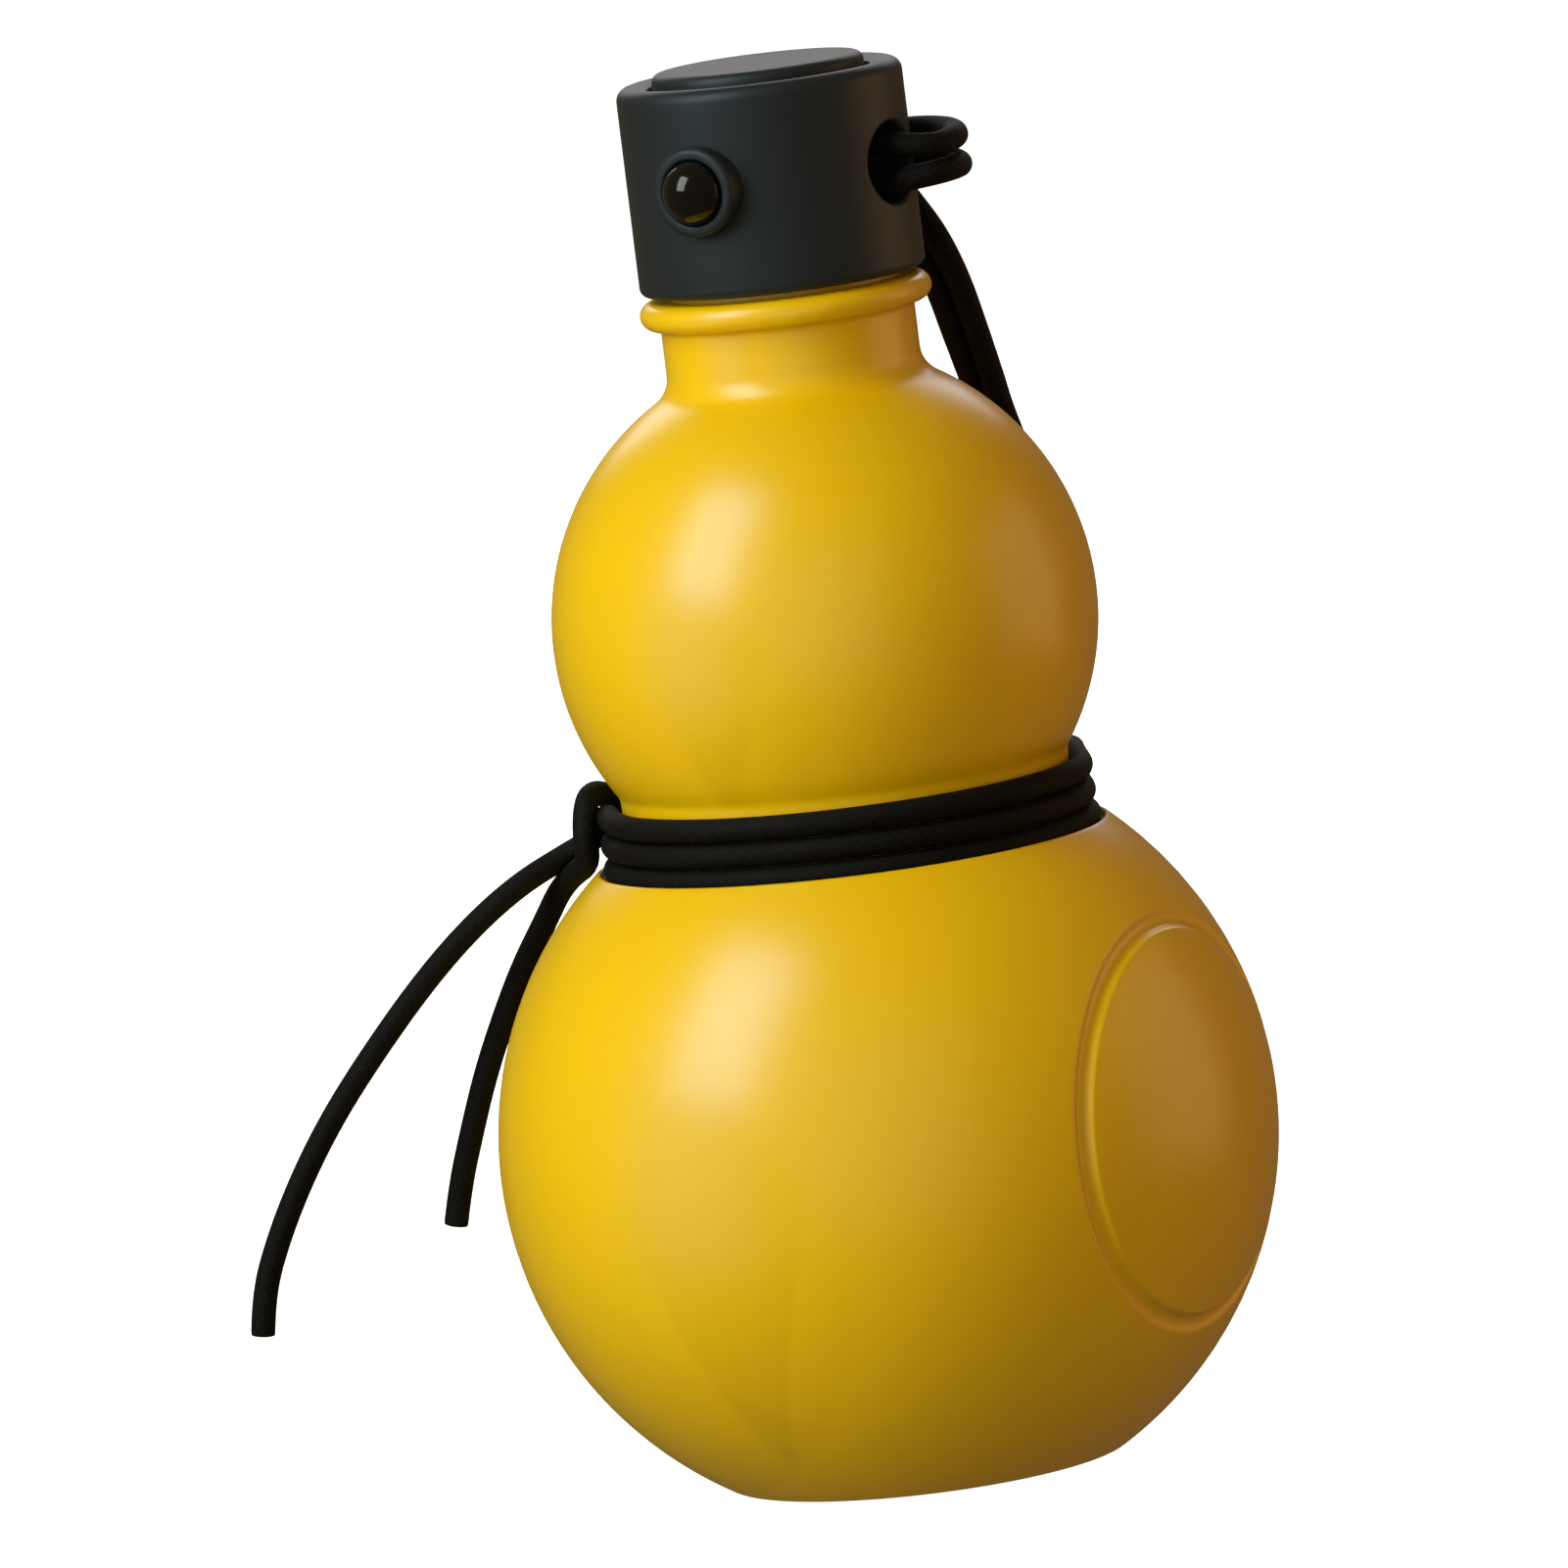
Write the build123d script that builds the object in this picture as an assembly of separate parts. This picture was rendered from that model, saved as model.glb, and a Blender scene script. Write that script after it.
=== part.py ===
from build123d import *
import math
import os

# Bottle: origin at the centre of the base, +Z up, button at -Y, lanyard hole and round panel at +X
# The body is two sheet bulbs and a base plate, welded at the waist and at the base
lower_radius = 58.4
upper_radius = 40.8
base_radius = 29.5
wall = 0.9
overrun = 2.0
lower_height = math.sqrt(lower_radius**2 - base_radius**2)

# How the shapes are measured and matched
match_tolerance = 1e-4
edge_probe_share = 0.3
way_step = 0.01
spring_samples = 200
band_samples = 1200

# Waist groove: it seats three turns of the cord, below the upper bulb
seat_radius = 33.6
seat_width = 12.455
seat_blend = 3.0
groove_width = 3.9
groove_flare = 0.5
groove_depth = 1.846
groove_lip_round = 0.45
collar_depth = 4.4
weld_clearance = 0.05
groove_floor_radius = seat_radius + groove_width
groove_lip_radius = groove_floor_radius + groove_flare
groove_floor_height = lower_height + math.sqrt(lower_radius**2 - groove_lip_radius**2) - groove_depth
upper_height = groove_floor_height + seat_width + math.sqrt(upper_radius**2 - seat_radius**2)

# Base: a standing ring round a pushed-up plate
base_round = 3.0
ring_width = 4.1
plate_radius = base_radius - ring_width
plate_rim_height = 3.5
plate_rise = 3.0
plate_lift = 0.4

# Round panel pressed into the lower bulb: a moat round a flush disc
panel_disc_radius = 28.75
moat_width = 2.65
moat_depth = 0.9

# Neck, rolled bead and finish, upwards from the upper bulb's shoulder
neck_radius = 19.0
neck_blend = 5.0
neck_length = 8.99
bead_reach = 2.85
bead_thickness = 4.2
finish_step = 2.0
finish_length = 8.0
lip_round = 0.4
shoulder_height = upper_height + math.sqrt((upper_radius + neck_blend)**2 - (neck_radius + neck_blend)**2)
bead_radius = neck_radius + bead_reach
bead_height = shoulder_height + neck_length
finish_radius = neck_radius - finish_step
lip_height = bead_height + bead_thickness / 2 + finish_length

# Threaded insert inside the cap, with the roof that closes the neck
thread_clearance = 0.9
insert_clearance = 0.1
insert_wall = 1.2
insert_foot_gap = 0.8
roof_thickness = 1.4
vent_radius = 1.0
vent_place = 12.8
insert_inner_radius = finish_radius + thread_clearance
insert_radius = insert_inner_radius + insert_wall

# Seal between the lip and the roof
gasket_reach = 0.9
gasket_thickness = 1.1
gasket_gap = 0.05
gasket_inner_radius = finish_radius - wall - gasket_reach
roof_height = lip_height + gasket_gap + gasket_thickness + gasket_gap

# Lanyard pocket, just above the roof, and the pin that the cord goes round
pocket_radius = 6.2
pocket_wall = 1.3
pocket_lift = 0.6
pocket_depth = 13.4
pocket_edge_round = 0.5
pin_radius = 1.5
pin_depth = 7.9
pin_clearance = 0.05
pin_slack = 0.15
boss_radius = pocket_radius + pocket_wall
pocket_height = roof_height + pocket_lift + boss_radius

# Cap round the insert and the pocket
cap_wall = 2.2
cap_gap = 0.9
cap_crown = 7.4
cap_top_round = 2.0
cap_foot_round = 1.3
cap_top_plate = 3.6
cap_brim = 4.75
cover_groove = 0.45
cover_shoulder = 2.2
cover_rise = 1.5
cover_seat_depth = 1.8
cover_ledge = 1.6
cover_clearance = 0.1
cap_bore_radius = insert_radius + insert_clearance
cap_radius = cap_bore_radius + cap_wall
cap_foot = bead_height + bead_thickness / 2 + cap_gap
cap_rim = pocket_height + boss_radius + cap_crown
cover_radius = cap_radius - cap_brim - cover_groove
pocket_floor = cap_radius - pocket_depth
pin_place = cap_radius - pin_depth

# Push button at the front, level with the pocket, which opens the vent
button_radius = 4.87
button_clearance = 0.08
button_travel = 1.8
button_skirt = 1.6
button_crown = 4.1
collar_stand = 2.5
collar_rim_width = 1.8
collar_barrel_wall = 0.95
collar_barrel_clearance = 0.05
collar_web = 1.4
collar_rim_round = 0.9
collar_bore_round = 0.4
collar_saddle_clearance = 0.03
stem_radius = 1.5
stem_clearance = 0.08
stem_tip_round = 0.3
valve_reach = 2.7
valve_thickness = 1.2
clip_reach = 1.1
clip_thickness = 0.6
stem_fit = 0.03
stem_stub = 0.6
spring_wire = 0.5
spring_clearance = 1.15
spring_turns = 3
spring_end_gap = 0.3
spring_pressed = 1.7
button_height = pocket_height
collar_bore_radius = button_radius + button_clearance
collar_radius = collar_bore_radius + collar_rim_width
collar_barrel_radius = collar_bore_radius + collar_barrel_wall
collar_face = cap_radius + collar_stand
button_shoulder = collar_face - collar_bore_round
button_back = button_shoulder - button_skirt
collar_web_end = button_back - button_travel - spring_pressed
collar_web_place = collar_web_end - collar_web
spring_radius = stem_radius + spring_clearance + spring_wire / 2

# Cord: one length, from tail to knot, round the waist, up to the cap, down and back to the knot
cord_diameter = 3.38
cord_seat_gap = 0.3
turn_gap = 0.44
turn_pitch = cord_diameter + turn_gap
band_radius = seat_radius + cord_seat_gap + cord_diameter / 2
band_low = groove_floor_height + cord_seat_gap / 2 + cord_diameter / 2
strap_azimuth = 66.5
strap_drop = 7.5
strap_bend = 4.1
strap_lead = 3.2
lay_lead = 4.8
root_lead = 6.2
knot_azimuth = 213.0
front_passes = 3
climb_start = 231.0
climb_end = 328.0
hop_half_width = 26.0
steps_per_bend = 4
steps_per_run = 2
spring_steps = 4
bend_share = 0.45
snug_share = 0.98

# Routes of the free stretches: radius from the axis, azimuth in degrees from +X, height
bight_rise = pin_radius + pin_slack + cord_diameter / 2
LOOP_LOW = [(27.0, 3.5, 193.5), (28.6, 17.0, 193.5), (28.4, 31.0, 193.5)]
LOOP_HIGH = [(27.0, 3.5, 198.3), (28.6, 17.0, 198.3), (28.4, 31.0, 198.3)]
STRAP_OUTER = [
    (28.2, 45.0, 193.6), (27.8, 56.5, 193.2), (27.6, 64.3, 190.0), (28.4, 66.8, 184.4),
    (32.0, 66.6, 176.0), (34.5, 66.4, 166.5), (37.6, 66.5, 155.5), (41.2, 66.4, 143.8),
    (43.4, 66.5, 130.8), (42.4, 66.5, 118.6), (39.1, 66.4, 109.9),
]
STRAP_INNER = [
    (28.2, 45.0, 198.4), (28.0, 58.0, 198.2), (27.7, 68.5, 196.2), (27.4, 73.6, 190.6),
    (28.1, 75.0, 183.5), (30.6, 74.2, 174.5), (33.2, 73.2, 165.0), (36.9, 72.3, 154.8),
    (40.8, 72.1, 143.6), (43.4, 72.0, 130.6), (42.4, 72.0, 118.6), (40.0, 72.0, 111.6),
    (37.9, 74.2, 107.9),
]
RETURN_START = (36.6, 88.5)
RETURN_END = 182.5
KNOT_ROOT = [(43.6, 197.6, 100.8)]
KNOT_WRAP = [
    (38.4, 194.2, 106.4), (40.4, 205.6, 105.7), (41.5, 206.3, 98.6), (42.7, 203.5, 93.9),
    (44.2, 194.4, 94.1), (47.8, 191.9, 89.6),
]
TAIL_LONG = [
    (50.6, 202.5, 95.6), (58.2, 203.5, 88.5), (66.1, 204.0, 81.1), (74.3, 204.2, 72.0),
    (81.7, 204.2, 62.7), (87.8, 204.3, 53.6), (92.4, 204.2, 44.4), (95.5, 204.0, 36.4),
    (96.5, 204.0, 30.4),
]
TAIL_SHORT = [
    (50.6, 193.6, 85.0), (54.2, 195.0, 79.2), (57.9, 195.8, 72.6),
    (61.4, 196.2, 64.8), (64.7, 196.1, 56.3), (67.2, 196.0, 48.6), (68.3, 196.0, 42.8),
]


def polar(radius, azimuth, height):
    """A point by its distance from the axis, its angle from +X in degrees and its height."""
    angle = math.radians(azimuth)
    return Vector(radius * math.cos(angle), radius * math.sin(angle), height)


def turned(*edges):
    """A solid of revolution about Z from a closed outline of radius and height, its seam at -X."""
    half_plane = Plane(origin=(0, 0, 0), x_dir=(-1, 0, 0), z_dir=(0, 1, 0))
    return revolve(half_plane * make_face(Curve() + list(edges)), Axis.Z, 360)


def arc_between(centre_height, radius, low, high):
    """The arc of a bulb's outline between two points, given as radius and height."""
    start = math.atan2(low[1] - centre_height, low[0])
    end = math.atan2(high[1] - centre_height, high[0])
    middle = (start + end) / 2
    crown = (radius * math.cos(middle), centre_height + radius * math.sin(middle))
    return ThreePointArc(low, crown, high)


def sphere_height(centre_height, radius, at_radius, side):
    """The height of a sphere's surface at a distance from the axis, above or below its centre."""
    return centre_height + side * math.sqrt(radius**2 - at_radius**2)


def filled(outline_points):
    """A solid of revolution about Z from straight runs through points of radius and height."""
    return turned(*Polyline(*outline_points, close=True).edges())


# The upper bulb, with the waist collar below it, and the neck that is welded on its shoulder
def upper_form(inset):
    bulb = upper_radius - inset
    neck = neck_radius - inset
    seat = seat_radius - inset
    blend = neck_blend + inset
    foot = (seat, groove_floor_height - wall - collar_depth)
    blend_radius = neck + blend
    blend_height = sphere_height(upper_height, bulb + blend, blend_radius, 1)
    touch_share = bulb / (bulb + blend)
    touch = (blend_radius * touch_share, upper_height + (blend_height - upper_height) * touch_share)
    half = math.atan2(blend_height - touch[1], blend_radius - touch[0]) / 2
    hollow = (blend_radius - blend * math.cos(half), blend_height - blend * math.sin(half))
    waist = (seat, sphere_height(upper_height, bulb, seat, -1))
    top = (neck, bead_height)
    form = turned(
        Line((0, foot[1]), foot),
        Line(foot, waist),
        arc_between(upper_height, bulb, waist, touch),
        ThreePointArc(touch, hollow, (neck, blend_height)),
        Line((neck, blend_height), top),
        Line(top, (0, top[1])),
        Line((0, top[1]), (0, foot[1])),
    )
    corner = form.edges().filter_by(GeomType.CIRCLE).sort_by(lambda e: abs(e.center().Z - waist[1]))[0]
    return fillet(corner, seat_blend + inset)


def make_upper_body():
    """Upper bulb with the waist collar, and the neck with its rolled bead and finish, by node name."""
    half_bead = bead_thickness / 2
    bead_core = bead_radius - half_bead
    finish = filled([
        (0, bead_height), (neck_radius, bead_height), (neck_radius, bead_height + half_bead),
        (finish_radius, bead_height + half_bead), (finish_radius, lip_height), (0, lip_height),
    ])
    bead = filled([
        (0, bead_height - half_bead), (bead_core, bead_height - half_bead),
        (bead_core, bead_height + half_bead), (0, bead_height + half_bead),
    ])
    roll = Pos(0, 0, bead_height) * Torus(bead_core, half_bead)
    bore = Pos(0, 0, bead_height) * Cylinder(
        finish_radius - wall, lip_height - bead_height + overrun, align=(Align.CENTER, Align.CENTER, Align.MIN)
    )
    foot = groove_floor_height - wall - collar_depth
    collar_bore = Pos(0, 0, foot - overrun) * Cylinder(
        seat_radius - wall, overrun + wall, align=(Align.CENTER, Align.CENTER, Align.MIN)
    )
    shell = upper_form(0) + finish + bead + roll - upper_form(wall) - bore - collar_bore
    lip = shell.edges().filter_by(GeomType.CIRCLE).filter_by_position(Axis.Z, lip_height, lip_height)
    shell = fillet(lip, lip_round)
    return {
        "upper_shell": split(shell, Plane.XY.offset(shoulder_height), keep=Keep.BOTTOM),
        "neck_finish": split(shell, Plane.XY.offset(shoulder_height + weld_clearance), keep=Keep.TOP),
    }


def panel_moat(tube):
    """The ring-shaped tool that presses the moat, about the X axis through the lower bulb."""
    middle = math.asin((panel_disc_radius + moat_width / 2) / lower_radius)
    chord = moat_width / 2 / math.cos(middle)
    tool = (chord**2 + moat_depth**2) / (2 * moat_depth)
    reach = lower_radius + tool - moat_depth
    ring = Torus(reach * math.sin(middle), tool + tube)
    return Pos(reach * math.cos(middle), 0, lower_height) * Rot(0, 90, 0) * ring


def make_lower_shell():
    """Lower bulb with the groove floor at its top, the pressed panel and the standing ring."""
    lip = (groove_lip_radius, sphere_height(lower_height, lower_radius, groove_lip_radius, 1))
    base = (math.sqrt(lower_radius**2 - lower_height**2), 0)
    floor = groove_floor_height
    outside = turned(
        Line((0, 0), base),
        arc_between(lower_height, lower_radius, base, lip),
        Line(lip, (groove_floor_radius, floor)),
        Line((groove_floor_radius, floor), (0, floor)),
        Line((0, floor), (0, 0)),
    )
    rings = outside.edges().filter_by(GeomType.CIRCLE)
    outside = fillet(rings.sort_by(lambda e: abs(e.center().Z - lip[1]))[0], groove_lip_round)
    rings = outside.edges().filter_by(GeomType.CIRCLE)
    outside = fillet(rings.sort_by(lambda e: abs(e.center().Z) + abs(e.radius - base[0]))[0], base_round)
    bulb = lower_radius - wall
    low = (math.sqrt(bulb**2 - (lower_height - wall) ** 2), wall)
    high = (math.sqrt(bulb**2 - (floor - wall - lower_height) ** 2), floor - wall)
    inside = turned(
        Line((0, wall), low),
        arc_between(lower_height, bulb, low, high),
        Line(high, (0, high[1])),
        Line((0, high[1]), (0, wall)),
    )
    shell = outside - panel_moat(0) - (inside - panel_moat(wall))
    waist_hole = Pos(0, 0, floor) * Cylinder(seat_radius + weld_clearance, 2 * overrun + wall)
    base_hole = Cylinder(plate_radius + weld_clearance, 2 * overrun + wall)
    return shell - waist_hole - base_hole


def make_base_plate():
    """Pushed-up plate with an upturned rim, set into the lower bulb's standing ring."""
    rim_inner = plate_radius - wall
    low = plate_lift
    top = low + plate_rise
    rise = (plate_rise**2 + rim_inner**2) / (2 * plate_rise)
    half = math.asin(rim_inner / rise) / 2
    crown = (rise * math.sin(half), top - rise + rise * math.cos(half))
    above = (crown[0], crown[1] + wall)
    return turned(
        Line((plate_radius, low), (plate_radius, low + plate_rim_height)),
        Line((plate_radius, low + plate_rim_height), (rim_inner, low + plate_rim_height)),
        Line((rim_inner, low + plate_rim_height), (rim_inner, low + wall)),
        ThreePointArc((rim_inner, low + wall), above, (0, top + wall)),
        Line((0, top + wall), (0, top)),
        ThreePointArc((0, top), crown, (rim_inner, low)),
        Line((rim_inner, low), (plate_radius, low)),
    )


def along_x(height, start, end, radius):
    """A cylinder on a line parallel to X, from start to end."""
    length = end - start
    return Pos(start + length / 2, 0, height) * Rot(0, 90, 0) * Cylinder(radius, length)


def along_y(height, start, end, radius):
    """A cylinder on a line parallel to Y, from start to end."""
    length = end - start
    return Pos(0, start + length / 2, height) * Rot(90, 0, 0) * Cylinder(radius, length)


def make_cap_shell():
    """Outer cap: a cup open downwards, with the cover's seat, the lanyard pocket and the button hole."""
    inner = cap_bore_radius
    top = cap_rim - cap_top_plate
    body = filled([(0, cap_foot), (cap_radius, cap_foot), (cap_radius, cap_rim), (0, cap_rim)])
    rims = body.edges().filter_by(GeomType.CIRCLE).sort_by(Axis.Z)
    body = fillet(rims[-1], cap_top_round)
    rims = body.edges().filter_by(GeomType.CIRCLE).sort_by(Axis.Z)
    body = fillet(rims[0], cap_foot_round)
    hollow = filled([(0, cap_foot - overrun), (inner, cap_foot - overrun), (inner, top), (0, top)])
    seat = cap_rim - cover_seat_depth
    opening = cover_radius + cover_groove
    hollow += filled([(0, seat), (opening, seat), (opening, cap_rim + overrun), (0, cap_rim + overrun)])
    ledge = opening - cover_ledge
    hollow += filled([(0, top - overrun), (ledge, top - overrun), (ledge, seat + overrun), (0, seat + overrun)])
    cap = body - hollow
    boss = along_x(pocket_height, pocket_floor - pocket_wall, inner + cap_wall / 2, boss_radius)
    cap += boss - filled([(inner + cap_wall / 2, 0), (2 * cap_radius, 0),
                          (2 * cap_radius, cap_rim), (inner + cap_wall / 2, cap_rim)])
    cap -= along_x(pocket_height, pocket_floor, cap_radius + overrun, pocket_radius)
    cap -= Pos(0, -(inner + cap_wall / 2), button_height) * Rot(90, 0, 0) * Cylinder(
        collar_barrel_radius + collar_barrel_clearance, cap_wall + 2 * overrun
    )
    cap -= Pos(pin_place, 0, 0) * along_y(pocket_height, -boss_radius, boss_radius, pin_radius + pin_clearance)
    mouth = cap.edges().filter_by(is_mouth)
    return fillet(mouth, pocket_edge_round)


def close(first, second):
    """Whether two lengths are the same, within the tolerance of the match."""
    return math.isclose(first, second, rel_tol=match_tolerance)


def is_mouth(edge):
    """Whether an edge is where the lanyard pocket meets the cap's outer wall."""
    point = edge @ edge_probe_share
    from_axis = math.hypot(point.X, point.Y)
    from_pocket = math.hypot(point.Y, point.Z - pocket_height)
    return point.X > 0 and close(from_axis, cap_radius) and close(from_pocket, pocket_radius)


def make_cap_cover():
    """Raised disc in the cap's top, with a rounded shoulder and a groove round it."""
    seat = cap_rim - cover_seat_depth + cover_clearance
    shoulder = cap_rim
    top = cap_rim + cover_rise
    rim = cover_radius
    flat = rim - cover_shoulder
    bulge = (flat + cover_shoulder * math.sin(math.pi / 4), shoulder + cover_rise * math.cos(math.pi / 4))
    return turned(
        Line((0, seat), (rim, seat)),
        Line((rim, seat), (rim, shoulder)),
        ThreePointArc((rim, shoulder), bulge, (flat, top)),
        Line((flat, top), (0, top)),
        Line((0, top), (0, seat)),
    )


def make_thread_insert():
    """Insert that grips the neck finish, with the roof over the neck and the vent hole."""
    foot = cap_foot + insert_foot_gap
    top = roof_height + roof_thickness
    cup = filled([
        (insert_radius, foot), (insert_radius, top), (0, top), (0, roof_height),
        (insert_inner_radius, roof_height), (insert_inner_radius, foot),
    ])
    clearance = boss_radius + insert_clearance
    cup -= along_x(pocket_height, pocket_floor - pocket_wall - insert_clearance, cap_radius, clearance)
    return cup - Pos(0, -vent_place, roof_height) * Cylinder(vent_radius, 2 * (roof_thickness + overrun))


def make_lip_gasket():
    """Flat ring that seals the lip to the insert's roof."""
    low = lip_height + gasket_gap
    high = low + gasket_thickness
    outer = insert_inner_radius - gasket_gap
    return filled([(gasket_inner_radius, low), (outer, low), (outer, high), (gasket_inner_radius, high)])


def make_lanyard_pin():
    """Cross pin in the pocket, which the cord's bight goes round."""
    return Pos(pin_place, 0, 0) * along_y(pocket_height, -boss_radius, boss_radius, pin_radius)


def make_button_collar():
    """Round collar that stands out of the cap, with the button's bore and the valve's seat."""
    face = collar_face
    flange = along_y(button_height, -face, -cap_bore_radius, collar_radius)
    edges = flange.edges().filter_by(GeomType.CIRCLE).sort_by(Axis.Y)
    flange = fillet(edges[0], collar_rim_round)
    flange -= Pos(0, 0, button_height) * Cylinder(cap_radius + collar_saddle_clearance, cap_rim)
    barrel = along_y(button_height, -face + collar_rim_round, -collar_web_place, collar_barrel_radius)
    collar = flange + barrel
    collar -= along_y(button_height, -face - overrun, -collar_web_end, collar_bore_radius)
    collar -= along_y(button_height, -face, -collar_web_place + overrun, stem_radius + stem_clearance)
    rings = collar.edges().filter_by(GeomType.CIRCLE).sort_by(Axis.Y)
    mouth = [e for e in rings if close(e.radius, collar_bore_radius)]
    return fillet(mouth[0], collar_bore_round)


def make_button():
    """Domed button with its skirt and the stem that carries the valve disc."""
    shoulder = button_shoulder
    back = button_back
    crown = button_crown
    tip = collar_web_place - valve_thickness - clip_thickness - stem_fit - stem_fit - stem_stub
    dome = (button_radius**2 + crown**2) / (2 * crown)
    half = math.asin(button_radius / dome) / 2
    bulge = (dome * math.sin(half), shoulder + crown - dome + dome * math.cos(half))
    outline = make_face(Curve() + [
        Line((0, tip), (stem_radius - stem_tip_round, tip)),
        Line((stem_radius - stem_tip_round, tip), (stem_radius, tip + stem_tip_round)),
        Line((stem_radius, tip + stem_tip_round), (stem_radius, back)),
        Line((stem_radius, back), (button_radius, back)),
        Line((button_radius, back), (button_radius, shoulder)),
        ThreePointArc((button_radius, shoulder), bulge, (0, shoulder + crown)),
        Line((0, shoulder + crown), (0, tip)),
    ])
    return Pos(0, 0, button_height) * Rot(90, 0, 0) * revolve(Plane.XZ * outline, Axis.Z, 360)


def ring_on_stem(start, thickness, radius):
    """A ring on the button's stem, its far side at start, reaching inwards by its thickness."""
    disc = along_y(button_height, -start, -start + thickness, radius)
    return disc - along_y(button_height, -start - overrun, -start + thickness + overrun, stem_radius + stem_fit)


def make_valve_disc():
    """Rubber disc on the stem, held against the collar's web until the button is pressed."""
    return ring_on_stem(collar_web_place - gasket_gap, valve_thickness, stem_radius + valve_reach)


def make_stem_clip():
    """Clip that holds the valve disc on the stem."""
    start = collar_web_place - gasket_gap - valve_thickness - stem_fit
    return ring_on_stem(start, clip_thickness, stem_radius + clip_reach)


def biarc(start, start_way, end, end_way):
    """Two arcs that join two points with the given ways, touching where they meet."""
    chord = end - start
    ways = start_way + end_way
    part = 1 - start_way.dot(end_way)
    across = chord.dot(ways)
    reach = (math.sqrt(across**2 + 2 * part * chord.dot(chord)) - across) / (2 * part)
    middle = (start + start_way * reach + end - end_way * reach) / 2
    first = TangentArc(start, middle, tangent=start_way)
    second = TangentArc(middle, end, tangent=first % 1)
    return [first, second]


def wound_tube(points, ways, diameter, lead_in, lead_out):
    """One unbroken tube on biarcs through the points, with straight ends of the given lengths."""
    edges = []
    if lead_in:
        edges.append(Line(points[0] - ways[0] * lead_in, points[0]))
    for i in range(len(points) - 1):
        edges += biarc(points[i], ways[i], points[i + 1], ways[i + 1])
    if lead_out:
        edges.append(Line(points[-1], points[-1] + ways[-1] * lead_out))
    path = Wire(edges)
    section = Plane(origin=path @ 0, z_dir=path % 0) * Circle(diameter / 2)
    return sweep(section, path=path), path


def least_gap(path, diameter, apart, samples):
    """The least gap of a tube to itself, between places further along it than apart."""
    places = [path @ (i / samples) for i in range(samples + 1)]
    skip = math.ceil(apart / path.length * samples)
    least = min(
        (places[i] - places[j]).length
        for i in range(samples + 1)
        for j in range(i + skip, samples + 1)
    )
    return least - diameter


def make_button_spring():
    """Coil spring round the stem, between the button's back and the collar's web."""
    start = collar_web_end + spring_end_gap / 2 + spring_wire / 2
    end = button_back - spring_end_gap / 2 - spring_wire / 2
    count = spring_turns * spring_steps
    slope = (end - start) / (spring_turns * 2 * math.pi * spring_radius)
    points = []
    ways = []
    for i in range(count + 1):
        turn = i / count * spring_turns * 2 * math.pi
        away = start + (end - start) * i / count
        points.append(Vector(spring_radius * math.cos(turn), -away,
                             button_height + spring_radius * math.sin(turn)))
        ways.append(Vector(-math.sin(turn), -slope, math.cos(turn)).normalized())
    tube, path = wound_tube(points, ways, spring_wire, 0, 0)
    apart = math.pi * spring_radius
    print(f"button_spring: length {path.length:.1f}, least gap {least_gap(path, spring_wire, apart, spring_samples):.2f}")
    return tube


def route_tube(name, route, tight=None):
    """A tube of the cord along straight runs joined by tangent arcs, as large as the runs allow."""
    points = [Vector(p) for p in route]
    radii = []
    for i in range(1, len(points) - 1):
        before = points[i] - points[i - 1]
        after = points[i + 1] - points[i]
        half_turn = math.radians(before.get_angle(after)) / 2
        shorter = min(before.length, after.length)
        radii.append(bend_share * shorter / math.tan(half_turn))
    for place, radius in (tight or {}).items():
        radii[place] = radius
    path = FilletPolyline(*points, radius=radii)
    section = Plane(origin=path @ 0, z_dir=path % 0) * Circle(cord_diameter / 2)
    tube = sweep(section, path=path.edges())
    length = sum(e.length for e in path.edges())
    filling = tube.volume / (length * math.pi * cord_diameter**2 / 4)
    bends = " ".join(f"{r:.1f}" for r in radii)
    print(f"{name}: length {length:.1f}, volume share {filling:.4f}, bend radii {bends}")
    return tube


def spread(route):
    """A route of radius, azimuth and height as points."""
    return [polar(*place) for place in route]


def halfway(first, second):
    """The point halfway between two places of a route, where two stretches of the cord meet."""
    return (polar(*first) + polar(*second)) / 2


def climb_share(turn):
    """How far the cord has climbed to its next level, after so many degrees of one turn."""
    share = min(max((turn - climb_start) / (climb_end - climb_start), 0), 1)
    return share * share * (3 - 2 * share)


def hop_share(progress):
    """How far the cord stands out where it passes over its own first, upright stretch."""
    share = 0
    for crossing in range(1, front_passes):
        away = abs(progress - 360 * crossing)
        if away < hop_half_width:
            share = math.cos(math.pi / 2 * away / hop_half_width) ** 2
    return share


def band_place(progress):
    """A place on the waist winding, after so many degrees from the strap, going clockwise."""
    level = math.floor(progress / 360) + climb_share(progress % 360)
    radius = band_radius + turn_pitch * hop_share(progress)
    return polar(radius, strap_azimuth - progress, band_low + turn_pitch * level)


def way_of(place, progress):
    """The way along a stretch of the winding, by a small step to each side."""
    return (place(progress + way_step) - place(progress - way_step)).normalized()


def spaced(start, end, count):
    """Angles evenly apart from start to end, without the first."""
    return [start + (end - start) * i / count for i in range(1, count + 1)]


def winding_stops(last):
    """The angles at which the winding's arcs meet, closer together where it climbs or stands out."""
    stops = [hop_half_width]
    for turn in range(front_passes):
        start = 360 * turn
        if turn:
            stops.append(start - hop_half_width)
            stops += spaced(start - hop_half_width, start + hop_half_width, steps_per_bend)
        stops += spaced(start + hop_half_width, start + climb_start, steps_per_run)
        stops += spaced(start + climb_start, start + climb_end, steps_per_bend)
    return [stop for stop in stops if stop + hop_half_width < last]


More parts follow.
